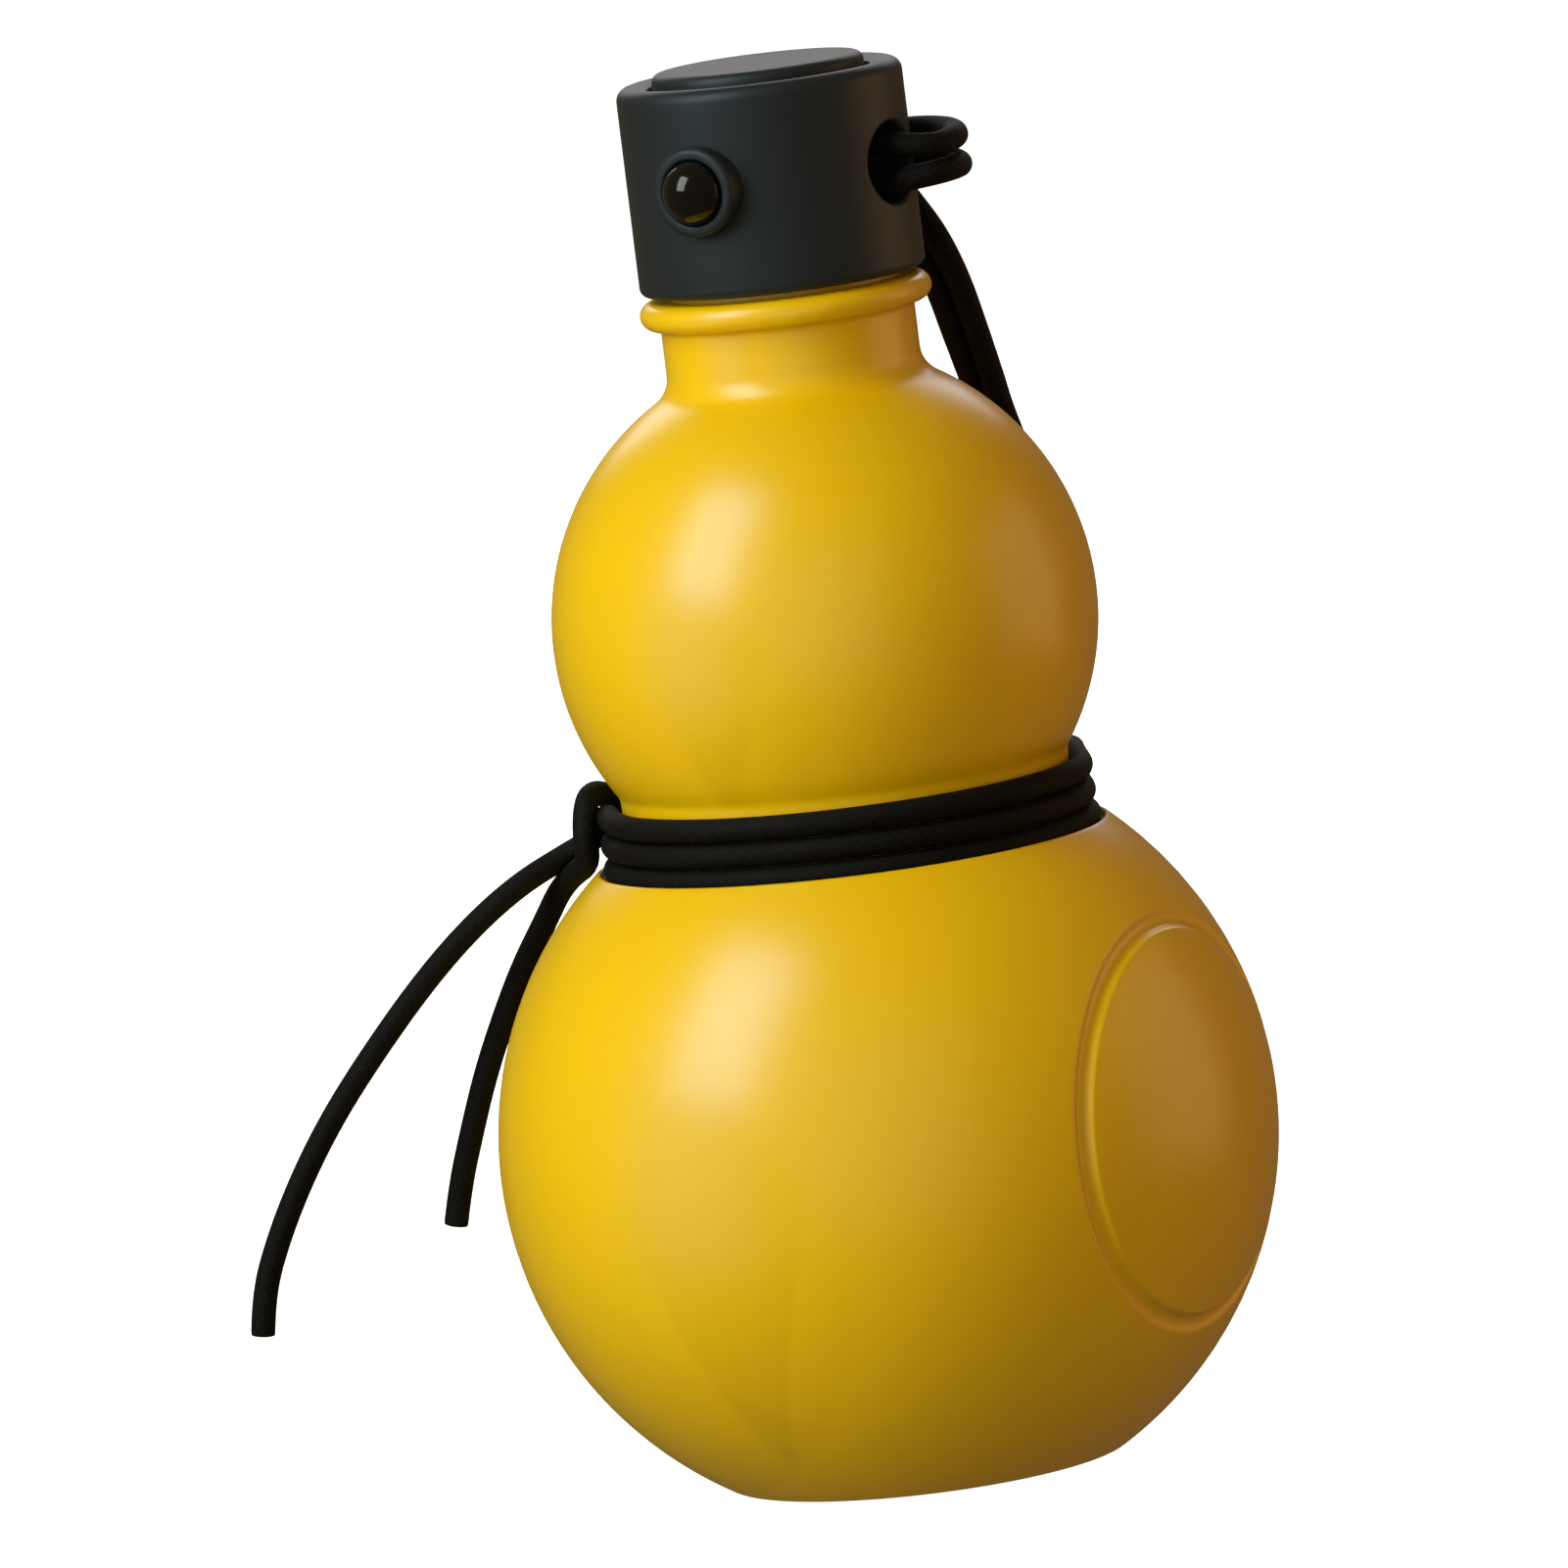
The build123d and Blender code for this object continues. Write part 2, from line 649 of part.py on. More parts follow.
def make_waist_winding():
    """The cord's turns at the waist: from the strap down, three times past the front, to the knot."""
    bend = math.degrees(strap_bend / band_radius)
    last = 360 * (front_passes - 1) + (strap_azimuth - (knot_azimuth - 360))
    top = polar(band_radius, strap_azimuth, band_low + strap_bend)
    points = [top]
    ways = [Vector(0, 0, -1)]
    for progress in [bend] + winding_stops(last) + [last]:
        points.append(band_place(progress))
        ways.append(way_of(band_place, progress))
    start = band_low + strap_drop
    tube, path = wound_tube(points, ways, cord_diameter, start - band_low - strap_bend, cord_diameter)
    apart = math.pi * band_radius
    print(f"waist_winding: length {path.length:.1f}, "
          f"least gap {least_gap(path, cord_diameter, apart, band_samples):.2f}, "
          f"volume share {tube.volume / (path.length * math.pi * cord_diameter**2 / 4):.4f}")
    return tube, path


def return_place(azimuth):
    """A place on the cord's last stretch, which lies on the turns from the strap round to the knot."""
    level = front_passes - 1 + climb_share(360 + strap_azimuth - azimuth)
    side = (azimuth - RETURN_START[1]) / (knot_azimuth - RETURN_START[1])
    ease = RETURN_START[0] - band_radius
    return polar(band_radius + ease * (1 - side), azimuth, band_low + turn_pitch * level)


def make_waist_return():
    """The stretch that comes from the strap's other strand and lies on the turns, round to the knot."""
    first = RETURN_START[1]
    last = RETURN_END
    points = []
    ways = []
    for azimuth in [first] + spaced(first, last, steps_per_bend + 1):
        points.append(return_place(azimuth))
        ways.append(way_of(return_place, azimuth))
    tube, path = wound_tube(points, ways, cord_diameter, 0, 0)
    print(f"waist_return: length {path.length:.1f}")
    return tube, path


def make_cord():
    """Every stretch of the cord, by node name."""
    winding, winding_path = make_waist_winding()
    lay, lay_path = make_waist_return()
    near = pin_place - bight_rise
    far = pin_place + bight_rise
    low = pocket_height - bight_rise
    high = pocket_height + bight_rise
    bight = [Vector(far, 0, low), Vector(near, 0, low), Vector(near, 0, high), Vector(far, 0, high)]
    low_end = halfway(LOOP_LOW[-1], STRAP_OUTER[0])
    high_end = halfway(LOOP_HIGH[-1], STRAP_INNER[0])
    loop = [low_end] + spread(LOOP_LOW)[::-1] + bight + spread(LOOP_HIGH) + [high_end]
    fold = len(LOOP_LOW) + 1
    snug = bight_rise * snug_share
    root_end = halfway(KNOT_ROOT[-1], TAIL_LONG[0])
    wrap_end = halfway(KNOT_WRAP[-1], TAIL_SHORT[0])
    outer_end = winding_path @ 0
    outer_turn = outer_end - winding_path % 0 * strap_lead
    inner_end = lay_path @ 0
    inner_turn = inner_end - lay_path % 0 * lay_lead
    root_start = winding_path @ 1
    root_turn = root_start + winding_path % 1 * root_lead
    wrap_start = lay_path @ 1
    wrap_turn = wrap_start + lay_path % 1 * lay_lead
    return {
        "waist_winding": winding,
        "waist_return": lay,
        "cap_cord_loop": route_tube("cap_cord_loop", loop, {fold: snug, fold + 1: snug}),
        "strap_strand_outer": route_tube(
            "strap_strand_outer", [low_end] + spread(STRAP_OUTER) + [outer_turn, outer_end]
        ),
        "strap_strand_inner": route_tube(
            "strap_strand_inner", [high_end] + spread(STRAP_INNER) + [inner_turn, inner_end]
        ),
        "waist_knot": Compound([
            route_tube("knot root", [root_start, root_turn] + spread(KNOT_ROOT) + [root_end]).solid(),
            route_tube("knot wrap", [wrap_start, wrap_turn] + spread(KNOT_WRAP) + [wrap_end]).solid(),
        ]),
        "tail_long": route_tube("tail_long", [root_end] + spread(TAIL_LONG)),
        "tail_short": route_tube("tail_short", [wrap_end] + spread(TAIL_SHORT)),
    }


def main():
    os.makedirs("parts", exist_ok=True)
    nodes = {
        "lower_shell": make_lower_shell(),
        "base_plate": make_base_plate(),
        "cap_shell": make_cap_shell(),
        "cap_cover": make_cap_cover(),
        "thread_insert": make_thread_insert(),
        "lip_gasket": make_lip_gasket(),
        "lanyard_pin": make_lanyard_pin(),
        "button_collar": make_button_collar(),
        "button": make_button(),
        "button_spring": make_button_spring(),
        "valve_disc": make_valve_disc(),
        "stem_clip": make_stem_clip(),
    }
    nodes.update(make_upper_body())
    nodes.update(make_cord())
    for name, shape in nodes.items():
        export_step(shape, f"parts/{name}.step")


main()
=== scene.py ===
"""Gourd water bottle: two painted bulbs, a charcoal cap with a push button, and a black cord.

Every piece made here is a surface worked out on a grid of two parameters, and the parts inside the
cap keep their solid shape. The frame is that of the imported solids: origin at the centre of the base,
+Z up, the button at -Y, the cord hole and the round panel at +X.
"""

import math

import bpy
import numpy as np
from bpy.props import FloatProperty, FloatVectorProperty, PointerProperty
from mathutils import Matrix, Vector


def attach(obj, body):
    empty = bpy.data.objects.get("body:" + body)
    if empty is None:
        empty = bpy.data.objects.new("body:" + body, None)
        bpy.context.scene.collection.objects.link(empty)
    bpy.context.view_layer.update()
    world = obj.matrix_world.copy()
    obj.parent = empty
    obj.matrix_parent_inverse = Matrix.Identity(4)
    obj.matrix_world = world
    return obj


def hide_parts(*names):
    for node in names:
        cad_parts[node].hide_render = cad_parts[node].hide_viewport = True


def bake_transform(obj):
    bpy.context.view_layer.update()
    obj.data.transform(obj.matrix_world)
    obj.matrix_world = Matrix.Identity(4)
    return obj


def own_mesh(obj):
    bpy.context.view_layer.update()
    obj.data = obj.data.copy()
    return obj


bl_info = {
    "name": "Gourd water bottle",
    "version": (1, 0, 0),
    "blender": (4, 5, 0),
    "location": "3D View > Sidebar > Gourd bottle",
    "description": "Makes a gourd-shaped water bottle with its cap, push button, cord and studio",
    "category": "Object",
}

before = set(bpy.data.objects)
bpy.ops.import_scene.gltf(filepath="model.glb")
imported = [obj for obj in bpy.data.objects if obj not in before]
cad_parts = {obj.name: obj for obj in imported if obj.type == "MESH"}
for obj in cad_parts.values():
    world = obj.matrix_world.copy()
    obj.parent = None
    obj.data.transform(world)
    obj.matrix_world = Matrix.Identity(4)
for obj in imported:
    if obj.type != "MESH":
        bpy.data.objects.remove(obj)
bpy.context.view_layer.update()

MM = 0.001
# Points nearer than this count as one, and a grid's row narrower than this as a pole
SAME_PLACE = 0.002 * MM
POLE_WIDTH = 0.0005 * MM


# Sizes and colours

def linear(code):
    """A colour for the shaders from an sRGB hex code: each channel through the sRGB curve."""
    channels = [int(code[i:i + 2], 16) / 255 for i in (1, 3, 5)]
    return [c / 12.92 if c <= 0.04045 else ((c + 0.055) / 1.055) ** 2.4 for c in channels]


def length(name, description, millimetres):
    """A size that a user can change, given in millimetres and held in metres."""
    return FloatProperty(name=name, description=description, default=millimetres * MM, unit="LENGTH", precision=5)


def colour(name, description, code):
    """A colour that a user can change, given as a hex code."""
    return FloatVectorProperty(
        name=name, description=description, default=linear(code), subtype="COLOR", size=3, min=0, max=1
    )


def amount(name, description, default, unit="NONE"):
    """A number that a user can change, nought or more."""
    return FloatProperty(name=name, description=description, default=default, min=0, unit=unit)


class BodySizes(bpy.types.PropertyGroup):
    lower_radius: length("Lower bulb", "Radius of the lower bulb", 58.4)
    lower_height: length("Lower centre", "Height of the lower bulb's centre", 50.4)
    upper_radius: length("Upper bulb", "Radius of the upper bulb", 40.8)
    upper_height: length("Upper centre", "Height of the upper bulb's centre", 128.5)
    wall: length("Wall", "Thickness of the painted sheet", 0.9)
    seat_radius: length("Seat", "Radius of the waist's seat for the cord", 33.6)
    seat_blend: length("Seat blend", "Radius between the seat and the upper bulb", 3.0)
    groove_height: length("Groove floor", "Height of the waist groove's floor", 92.9)
    groove_radius: length("Groove width", "Radius of the groove's floor at its outer edge", 37.5)
    lip_radius: length("Groove lip", "Radius of the lip round the groove", 38.0)
    neck_radius: length("Neck", "Radius of the neck", 19.0)
    neck_blend: length("Shoulder", "Radius between the upper bulb and the neck", 5.0)
    bead_radius: length("Bead", "Outer radius of the rolled bead", 21.85)
    bead_thickness: length("Bead thickness", "Thickness of the rolled bead", 4.2)
    bead_height: length("Bead height", "Height of the bead's middle", 176.5)
    finish_radius: length("Finish", "Radius of the threaded finish", 17.0)
    lip_height: length("Mouth", "Height of the mouth's lip", 186.6)
    ring_radius: length("Base opening", "Inner radius of the standing ring", 25.45)
    base_round: length("Base edge", "Radius of the rounded base edge", 3.0)
    panel_radius: length("Panel", "Radius of the round panel's disc", 28.75)
    moat_width: length("Moat width", "Width of the pressed moat round the panel", 2.65)
    moat_depth: length("Moat depth", "Depth of the pressed moat", 0.9)


class CapSizes(bpy.types.PropertyGroup):
    radius: length("Cap", "Outer radius of the cap", 21.4)
    wall: length("Cap wall", "Thickness of the cap's wall", 2.2)
    foot: length("Cap foot", "Height of the cap's lower edge", 179.5)
    rim: length("Cap rim", "Height of the cap's upper edge", 210.8)
    hole_height: length("Hole height", "Height of the cord hole and of the button", 195.9)
    hole_radius: length("Cord hole", "Radius of the cord hole", 6.2)
    button_radius: length("Button", "Radius of the push button", 4.87)
    button_crown: length("Button dome", "Height of the button's dome", 4.1)
    collar_radius: length("Collar", "Outer radius of the button's collar", 6.75)
    collar_stand: length("Collar stand", "How far the collar stands out of the cap", 2.5)


class CordSizes(bpy.types.PropertyGroup):
    diameter: length("Cord", "Diameter of the cord", 3.7)
    pitch: length("Pitch", "Distance between the turns at the waist", 3.82)
    band_radius: length("Band", "Radius of the turns' centreline", 35.59)
    band_low: length("Lowest turn", "Height of the lowest turn's centreline", 94.74)
    carrier: length("Braid pitch", "Length of one diamond of the braid", 1.9)


class Finishes(bpy.types.PropertyGroup):
    paint: colour("Paint", "Powder coat of the two bulbs", "#EABB00")
    cap: colour("Cap", "Moulded plastic of the cap", "#1E2123")
    button: colour("Button", "Polished plastic of the button", "#0B0B0C")
    cord: colour("Cord", "Dyed polyester of the cord", "#080808")
    rubber: colour("Rubber", "Silicone of the gasket and the valve disc", "#26272A")
    floor: colour("Floor", "Pale paper of the floor and backdrop", "#F4F3F1")


class StudioSettings(bpy.types.PropertyGroup):
    key: amount("Key light", "Power of the large soft light at the left", 12.0, "POWER")
    front: amount("Front light", "Power of the wide light in front", 10.5, "POWER")
    side: amount("Side light", "Power of the tall light at the far left", 8.0, "POWER")
    behind: amount("Back light", "Power of the wide light behind", 9.0, "POWER")
    top: amount("Top light", "Power of the overhead light", 4.0, "POWER")
    fill: amount("Fill light", "Power of the warm light at the right", 3.0, "POWER")
    glow: amount("Paper's glow", "Light that the backdrop gives off by itself", 1.1)
    sky: amount("Sky", "Strength of the even light all round", 0.15)


SETTINGS = {
    "gourd_body": BodySizes,
    "gourd_cap": CapSizes,
    "gourd_cord": CordSizes,
    "gourd_finishes": Finishes,
    "gourd_studio": StudioSettings,
}


# Outlines: arrays of radius and height

def unit(way):
    """A way, at length one."""
    return way / np.linalg.norm(way)


def circle(centre, radius, angle):
    """A circle's points at given angles: the centre plus the radius times cosine and sine."""
    return np.stack([centre[0] + radius * np.cos(angle), centre[1] + radius * np.sin(angle)], axis=1)


def arc(centre, radius, start, end, count):
    """A circle's points from start to end, in degrees."""
    return circle(centre, radius, np.radians(np.linspace(start, end, count)))


def angle_of(centre, point):
    """The angle in degrees of a point seen from a centre."""
    return math.degrees(math.atan2(point[1] - centre[1], point[0] - centre[0]))


def outline(*parts):
    """One outline from points and arcs in order, with no point twice in a row."""
    points = np.vstack([np.atleast_2d(np.array(part, float)) for part in parts])
    moved = np.linalg.norm(points - np.roll(points, 1, axis=0), axis=1) > SAME_PLACE
    return points[moved]


def rounded(corners, count=6):
    """Straight runs through corners of radius, height and rounding, each rounded by a tangent arc."""
    parts = []
    total = len(corners)
    for i, (x, z, radius) in enumerate(corners):
        point = np.array([x, z], float)
        if not radius:
            parts.append(point)
            continue
        before = unit(np.array(corners[i - 1][:2], float) - point)
        after = unit(np.array(corners[(i + 1) % total][:2], float) - point)
        half = math.acos(np.clip(before @ after, -1, 1)) / 2
        centre = point + unit(before + after) * radius / math.sin(half)
        start = angle_of(centre, point + before * radius / math.tan(half))
        end = angle_of(centre, point + after * radius / math.tan(half))
        turn = (end - start + 180) % 360 - 180
        parts.append(arc(centre, radius, start, start + turn, count))
    return outline(*parts)


# Grids and meshes

def eased(share):
    """A share held between 0 and 1 that starts and stops gently: 3 s^2 - 2 s^3."""
    share = np.clip(share, 0, 1)
    return share * share * (3 - 2 * share)


def carried(profile, azimuth):
    """A profile carried round the axis: its radius times cosine and sine of each angle."""
    height = np.repeat(profile[:, 1:], len(azimuth), axis=1)
    return np.stack([profile[:, :1] * np.cos(azimuth), profile[:, :1] * np.sin(azimuth), height], axis=-1)


def turned(profile, columns):
    """A surface of revolution: the profile carried round at even angles."""
    return carried(profile, np.radians(np.linspace(0, 360, columns, endpoint=False)))


def grid_index(points, wrap_rows, wrap_columns):
    """The vertex number of each grid place. A row that is all one point counts as one vertex."""
    rows, columns = points.shape[:2]
    index = np.arange(rows * columns).reshape(rows, columns)
    pole = np.ptp(points, axis=1).max(axis=1) < POLE_WIDTH
    index[pole] = index[pole, :1]
    if wrap_columns:
        index = np.hstack([index, index[:, :1]])
    if wrap_rows:
        index = np.vstack([index, index[:1]])
    return index


def grid_quads(index):
    """The four corners of each cell between neighbouring rows and columns."""
    cells = [index[:-1, :-1], index[:-1, 1:], index[1:, 1:], index[1:, :-1]]
    return np.stack(cells, axis=-1).reshape(-1, 4)


def mesh_piece(name, points, quads, uv=None, crease=38):
    """A mesh from points and quads, with a place in the UV map for each corner of each quad.

    Quads with two equal corners become triangles, and faces point outwards.
    """
    flat = np.asarray(points, float).reshape(-1, 3)
    same = quads == np.roll(quads, -1, axis=1)
    whole = same.sum(axis=1) < 2
    quads, keep = quads[whole], ~same[whole]
    a, b, c, d = (flat[quads[:, k]] for k in range(4))
    volume = (np.einsum("ij,ij->i", a, np.cross(b, c)) + np.einsum("ij,ij->i", a, np.cross(c, d))).sum()
    way = -1 if volume < 0 else 1
    quads, keep = quads[:, ::way], keep[:, ::way]
    used, corner = np.unique(quads[keep], return_inverse=True)
    count = keep.sum(axis=1)
    mesh = bpy.data.meshes.new(name)
    mesh.vertices.add(len(used))
    mesh.vertices.foreach_set("co", flat[used].astype(np.float32).ravel())
    mesh.loops.add(len(corner))
    mesh.loops.foreach_set("vertex_index", corner.astype(np.int32).ravel())
    mesh.polygons.add(len(count))
    mesh.polygons.foreach_set("loop_start", (np.cumsum(count) - count).astype(np.int32))
    mesh.polygons.foreach_set("loop_total", count.astype(np.int32))
    mesh.update(calc_edges=True)
    mesh.validate()
    mesh.polygons.foreach_set("use_smooth", np.ones(len(mesh.polygons), bool))
    mesh.set_sharp_from_angle(angle=math.radians(crease))
    if uv is not None:
        layer = mesh.uv_layers.new(name="UVMap")
        layer.data.foreach_set("uv", uv[whole][:, ::way][keep].astype(np.float32).ravel())
    piece = bpy.data.objects.new(name, mesh)
    bpy.context.scene.collection.objects.link(piece)
    return piece


def grid_piece(name, points, wrap_rows=False, **settings):
    """A mesh from a grid of points whose columns close, and whose rows close too if they are wrapped."""
    return mesh_piece(name, points, grid_quads(grid_index(points, wrap_rows, True)), **settings)


def turned_piece(name, profile, columns, place=None):
    """A closed turned piece. The profile is a closed loop, or runs from the axis to the axis."""
    open_ended = max(profile[0, 0], profile[-1, 0]) < POLE_WIDTH
    points = turned(profile, columns)
    if place is not None:
        points = points @ np.array(place.to_3x3()).T + np.array(place.translation)
    return grid_piece(name, points, not open_ended)


def ring_window(half):
    """Ring number and angle of each place in a square block of a grid, half a side either way.

    The ring is the larger of the two offsets, and the angle goes evenly round each square ring,
    so that a block's square rings can be laid as circles round its centre.
    """
    across, up = np.meshgrid(np.arange(-half, half + 1), np.arange(-half, half + 1))
    ring = np.maximum(np.abs(across), np.abs(up))
    eighth = math.pi / 4 / np.maximum(ring, 1)
    angle = np.select(
        [across >= np.abs(up), up >= np.abs(across), -across >= np.abs(up)],
        [up * eighth, math.pi / 2 - across * eighth, math.pi - up * eighth],
        -math.pi / 2 + across * eighth,
    )
    return ring, angle


def ring_loop(index, row, column, half, flip):
    """The vertex numbers round one square ring of a grid, from its right side, counter-clockwise."""
    ring, angle = ring_window(half)
    block = index[row - half:row + half + 1, column - half:column + half + 1]
    block = block[::-1] if flip else block
    on_ring = ring == half
    order = np.argsort(np.mod(angle[on_ring], 2 * math.pi))
    return block[on_ring][order]


def finish_piece(piece, body, finish, *nodes):
    """A piece's finish and material slot, the body that it rides on and the nodes that it stands for."""
    piece.data.materials.append(material_named(finish))
    if body:
        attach(piece, body)
    if nodes:
        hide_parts(*nodes)
    return piece


# Materials

def add_node(tree, kind, links=None, **values):
    """One node with its settings. Values with a socket's name set the socket, the rest set the node.

    links gives, for a socket's name, the output that feeds it.
    """
    node = tree.nodes.new(kind)
    for key, value in values.items():
        if hasattr(node, key):
            setattr(node, key, value)
        else:
            node.inputs[key.replace("_", " ")].default_value = value
    for key, source in (links or {}).items():
        tree.links.new(source, node.inputs[key])
    return node


def new_material(name):
    """A material with its output and an empty tree, and the shader to set."""
    material = bpy.data.materials.new(name)
    material.use_nodes = True
    tree = material.node_tree
    tree.nodes.clear()
    shader = tree.nodes.new("ShaderNodeBsdfPrincipled")
    output = tree.nodes.new("ShaderNodeOutputMaterial")
    tree.links.new(shader.outputs["BSDF"], output.inputs["Surface"])
    return material, tree, shader


def set_shader(shader, **values):
    """Even values of the shader, by their sockets' names."""
    for key, value in values.items():
        shader.inputs[key.replace("_", " ")].default_value = value


def per_metre(millimetres):
    """A noise scale whose grains are about so many millimetres across, on Object coordinates in metres."""
    return 1 / (millimetres * MM)


def tinted(base, share=1):
    """A colour with its alpha, a share lighter or darker or as it is."""
    return [min(1, c * share) for c in base] + [1]


def grained_gloss(tree, shader, grain, low, high, **settings):
    """Roughness between low and high, after a noise whose grains are so many millimetres across.

    Gives back the outputs of the piece's own coordinates and of the noise.
    """
    place = add_node(tree, "ShaderNodeTexCoord").outputs["Object"]
    noise = add_node(tree, "ShaderNodeTexNoise", {"Vector": place}, Scale=per_metre(grain), **settings)
    gloss = add_node(tree, "ShaderNodeMapRange", {"Value": noise.outputs["Fac"]}, To_Min=low, To_Max=high)
    tree.links.new(gloss.outputs["Result"], shader.inputs["Roughness"])
    return place, noise.outputs["Fac"]


def patterned(tree, shader, tone, height, base, shares, strength, depth):
    """Colour between two shares of the base after one pattern, and relief of a depth after another."""
    mix = add_node(tree, "ShaderNodeMix", {"Factor": tone}, data_type="RGBA")
    for socket, share in zip("AB", shares):
        mix.inputs[socket].default_value = tinted(base, share)
    tree.links.new(mix.outputs["Result"], shader.inputs["Base Color"])
    relief = add_node(tree, "ShaderNodeBump", {"Height": height}, Strength=strength, Distance=depth)
    tree.links.new(relief.outputs["Normal"], shader.inputs["Normal"])


def powder_coat(name, base):
    """Satin polyester powder coat, baked: an even, slightly pebbled film with a broad soft gloss."""
    material, tree, shader = new_material(name)
    # The real film's pebbles are about 0.3 mm across, drawn here at 0.7 mm so that they show
    place, pebble = grained_gloss(tree, shader, 0.7, 0.26, 0.33, Detail=2.0, Roughness=0.5)
    cloud = add_node(tree, "ShaderNodeTexNoise", {"Vector": place}, Scale=per_metre(38), Detail=1.0)
    patterned(tree, shader, cloud.outputs["Fac"], pebble, base, (0.975, 1.025), 0.12, 0.05 * MM)
    # A cool gloss, which takes the broad highlights from yellow towards white
    set_shader(shader, Specular_IOR_Level=0.65, Specular_Tint=tinted(linear("#B3DAFF")))
    return material


def moulded_plastic(name, base, rough, grain):
    """Injection-moulded plastic with a fine spark-eroded texture, which dulls its gloss."""
    material, tree, shader = new_material(name)
    # Grains of about 0.1 mm, drawn larger so that they show
    _, texture = grained_gloss(tree, shader, grain, rough - 0.04, rough + 0.04, Detail=3.0, Roughness=0.6)
    patterned(tree, shader, texture, texture, base, (0.9, 1.1), 0.1, 0.03 * MM)
    # A cool gloss, which keeps the charcoal grey in warm light
    set_shader(shader, Specular_Tint=tinted(linear("#CEEAFF")))
    return material


def polished_plastic(name, base):
    """Polished acrylic: a sharp gloss with the faintest waviness of the moulding."""
    material, tree, shader = new_material(name)
    grained_gloss(tree, shader, 3.0, 0.10, 0.14)
    set_shader(shader, Base_Color=tinted(base), Specular_IOR_Level=0.4)
    return material


def drawn_steel(name):
    """Stainless steel wire and pin, drawn: bright, with faint scratches."""
    material, tree, shader = new_material(name)
    grained_gloss(tree, shader, 0.25, 0.22, 0.36, Detail=2.0)
    set_shader(shader, Base_Color=tinted(linear("#CBCAC7")), Metallic=1.0)
    return material


def braided_cord(name, base, carrier, diameter):
    """Braided polyester: two sets of yarns cross in diamonds, with a dull sheen along each yarn, and painted shade
    and sheen: the colour is darker in the grooves between the yarns and lighter on their crowns.

    The piece's own UV map gives millimetres along the cord and round it. The pattern is the product
    of two sines without their signs, one leaning each way.
    """
    material, tree, shader = new_material(name)
    place = add_node(tree, "ShaderNodeUVMap", uv_map="UVMap")
    split = add_node(tree, "ShaderNodeSeparateXYZ", {"Vector": place.outputs["UV"]})
    # Round the cord eight yarns each way, and along it one diamond per carrier length
    scaled = []
    for axis, scale in (("Y", 8 * MM / diameter), ("X", math.pi * MM / carrier)):
        part = add_node(tree, "ShaderNodeMath", {0: split.outputs[axis]}, operation="MULTIPLY")
        part.inputs[1].default_value = scale
        scaled.append(part.outputs[0])
    yarns = []
    for way in ("ADD", "SUBTRACT"):
        lean = add_node(tree, "ShaderNodeMath", dict(enumerate(scaled)), operation=way)
        wave = add_node(tree, "ShaderNodeMath", {0: lean.outputs[0]}, operation="SINE")
        yarns.append(add_node(tree, "ShaderNodeMath", {0: wave.outputs[0]}, operation="ABSOLUTE").outputs[0])
    weave_and_painted_shade = add_node(tree, "ShaderNodeMath", dict(enumerate(yarns)), operation="MULTIPLY").outputs[0]
    # The colour follows the weave's relief: painted shade in the grooves between the yarns, painted sheen on their
    # crowns
    patterned(tree, shader, weave_and_painted_shade, weave_and_painted_shade, base, (0.55, 1.25), 0.35, 0.12 * MM)
    set_shader(shader, Roughness=0.75, Specular_IOR_Level=0.2)
    return material


def material_named(finish):
    """A finish that is made once and shared by the pieces that have it."""
    tints, cord = bpy.context.scene.gourd_finishes, bpy.context.scene.gourd_cord
    made = {
        "paint": (powder_coat, "powder_coat_satin", tints.paint),
        "cap": (moulded_plastic, "charcoal_moulded_plastic", tints.cap, 0.5, 0.45),
        "rubber": (moulded_plastic, "moulded_silicone", tints.rubber, 0.62, 0.6),
        "button": (polished_plastic, "polished_acrylic", tints.button),
        "steel": (drawn_steel, "drawn_stainless_steel"),
        "cord": (braided_cord, "braided_polyester", tints.cord, cord.carrier, cord.diameter),
    }
    make, *values = made[finish]
    return bpy.data.materials.get(values[0]) or make(*values)


# The body

def line_to_circle(centre, radius, corner, along):
    """Where a line from a corner, going along, leaves a circle: the further root of the quadratic."""
    offset = np.array(corner, float) - centre
    half = offset @ along
    return np.array(corner, float) + along * (-half + math.sqrt(half**2 - offset @ offset + radius**2))


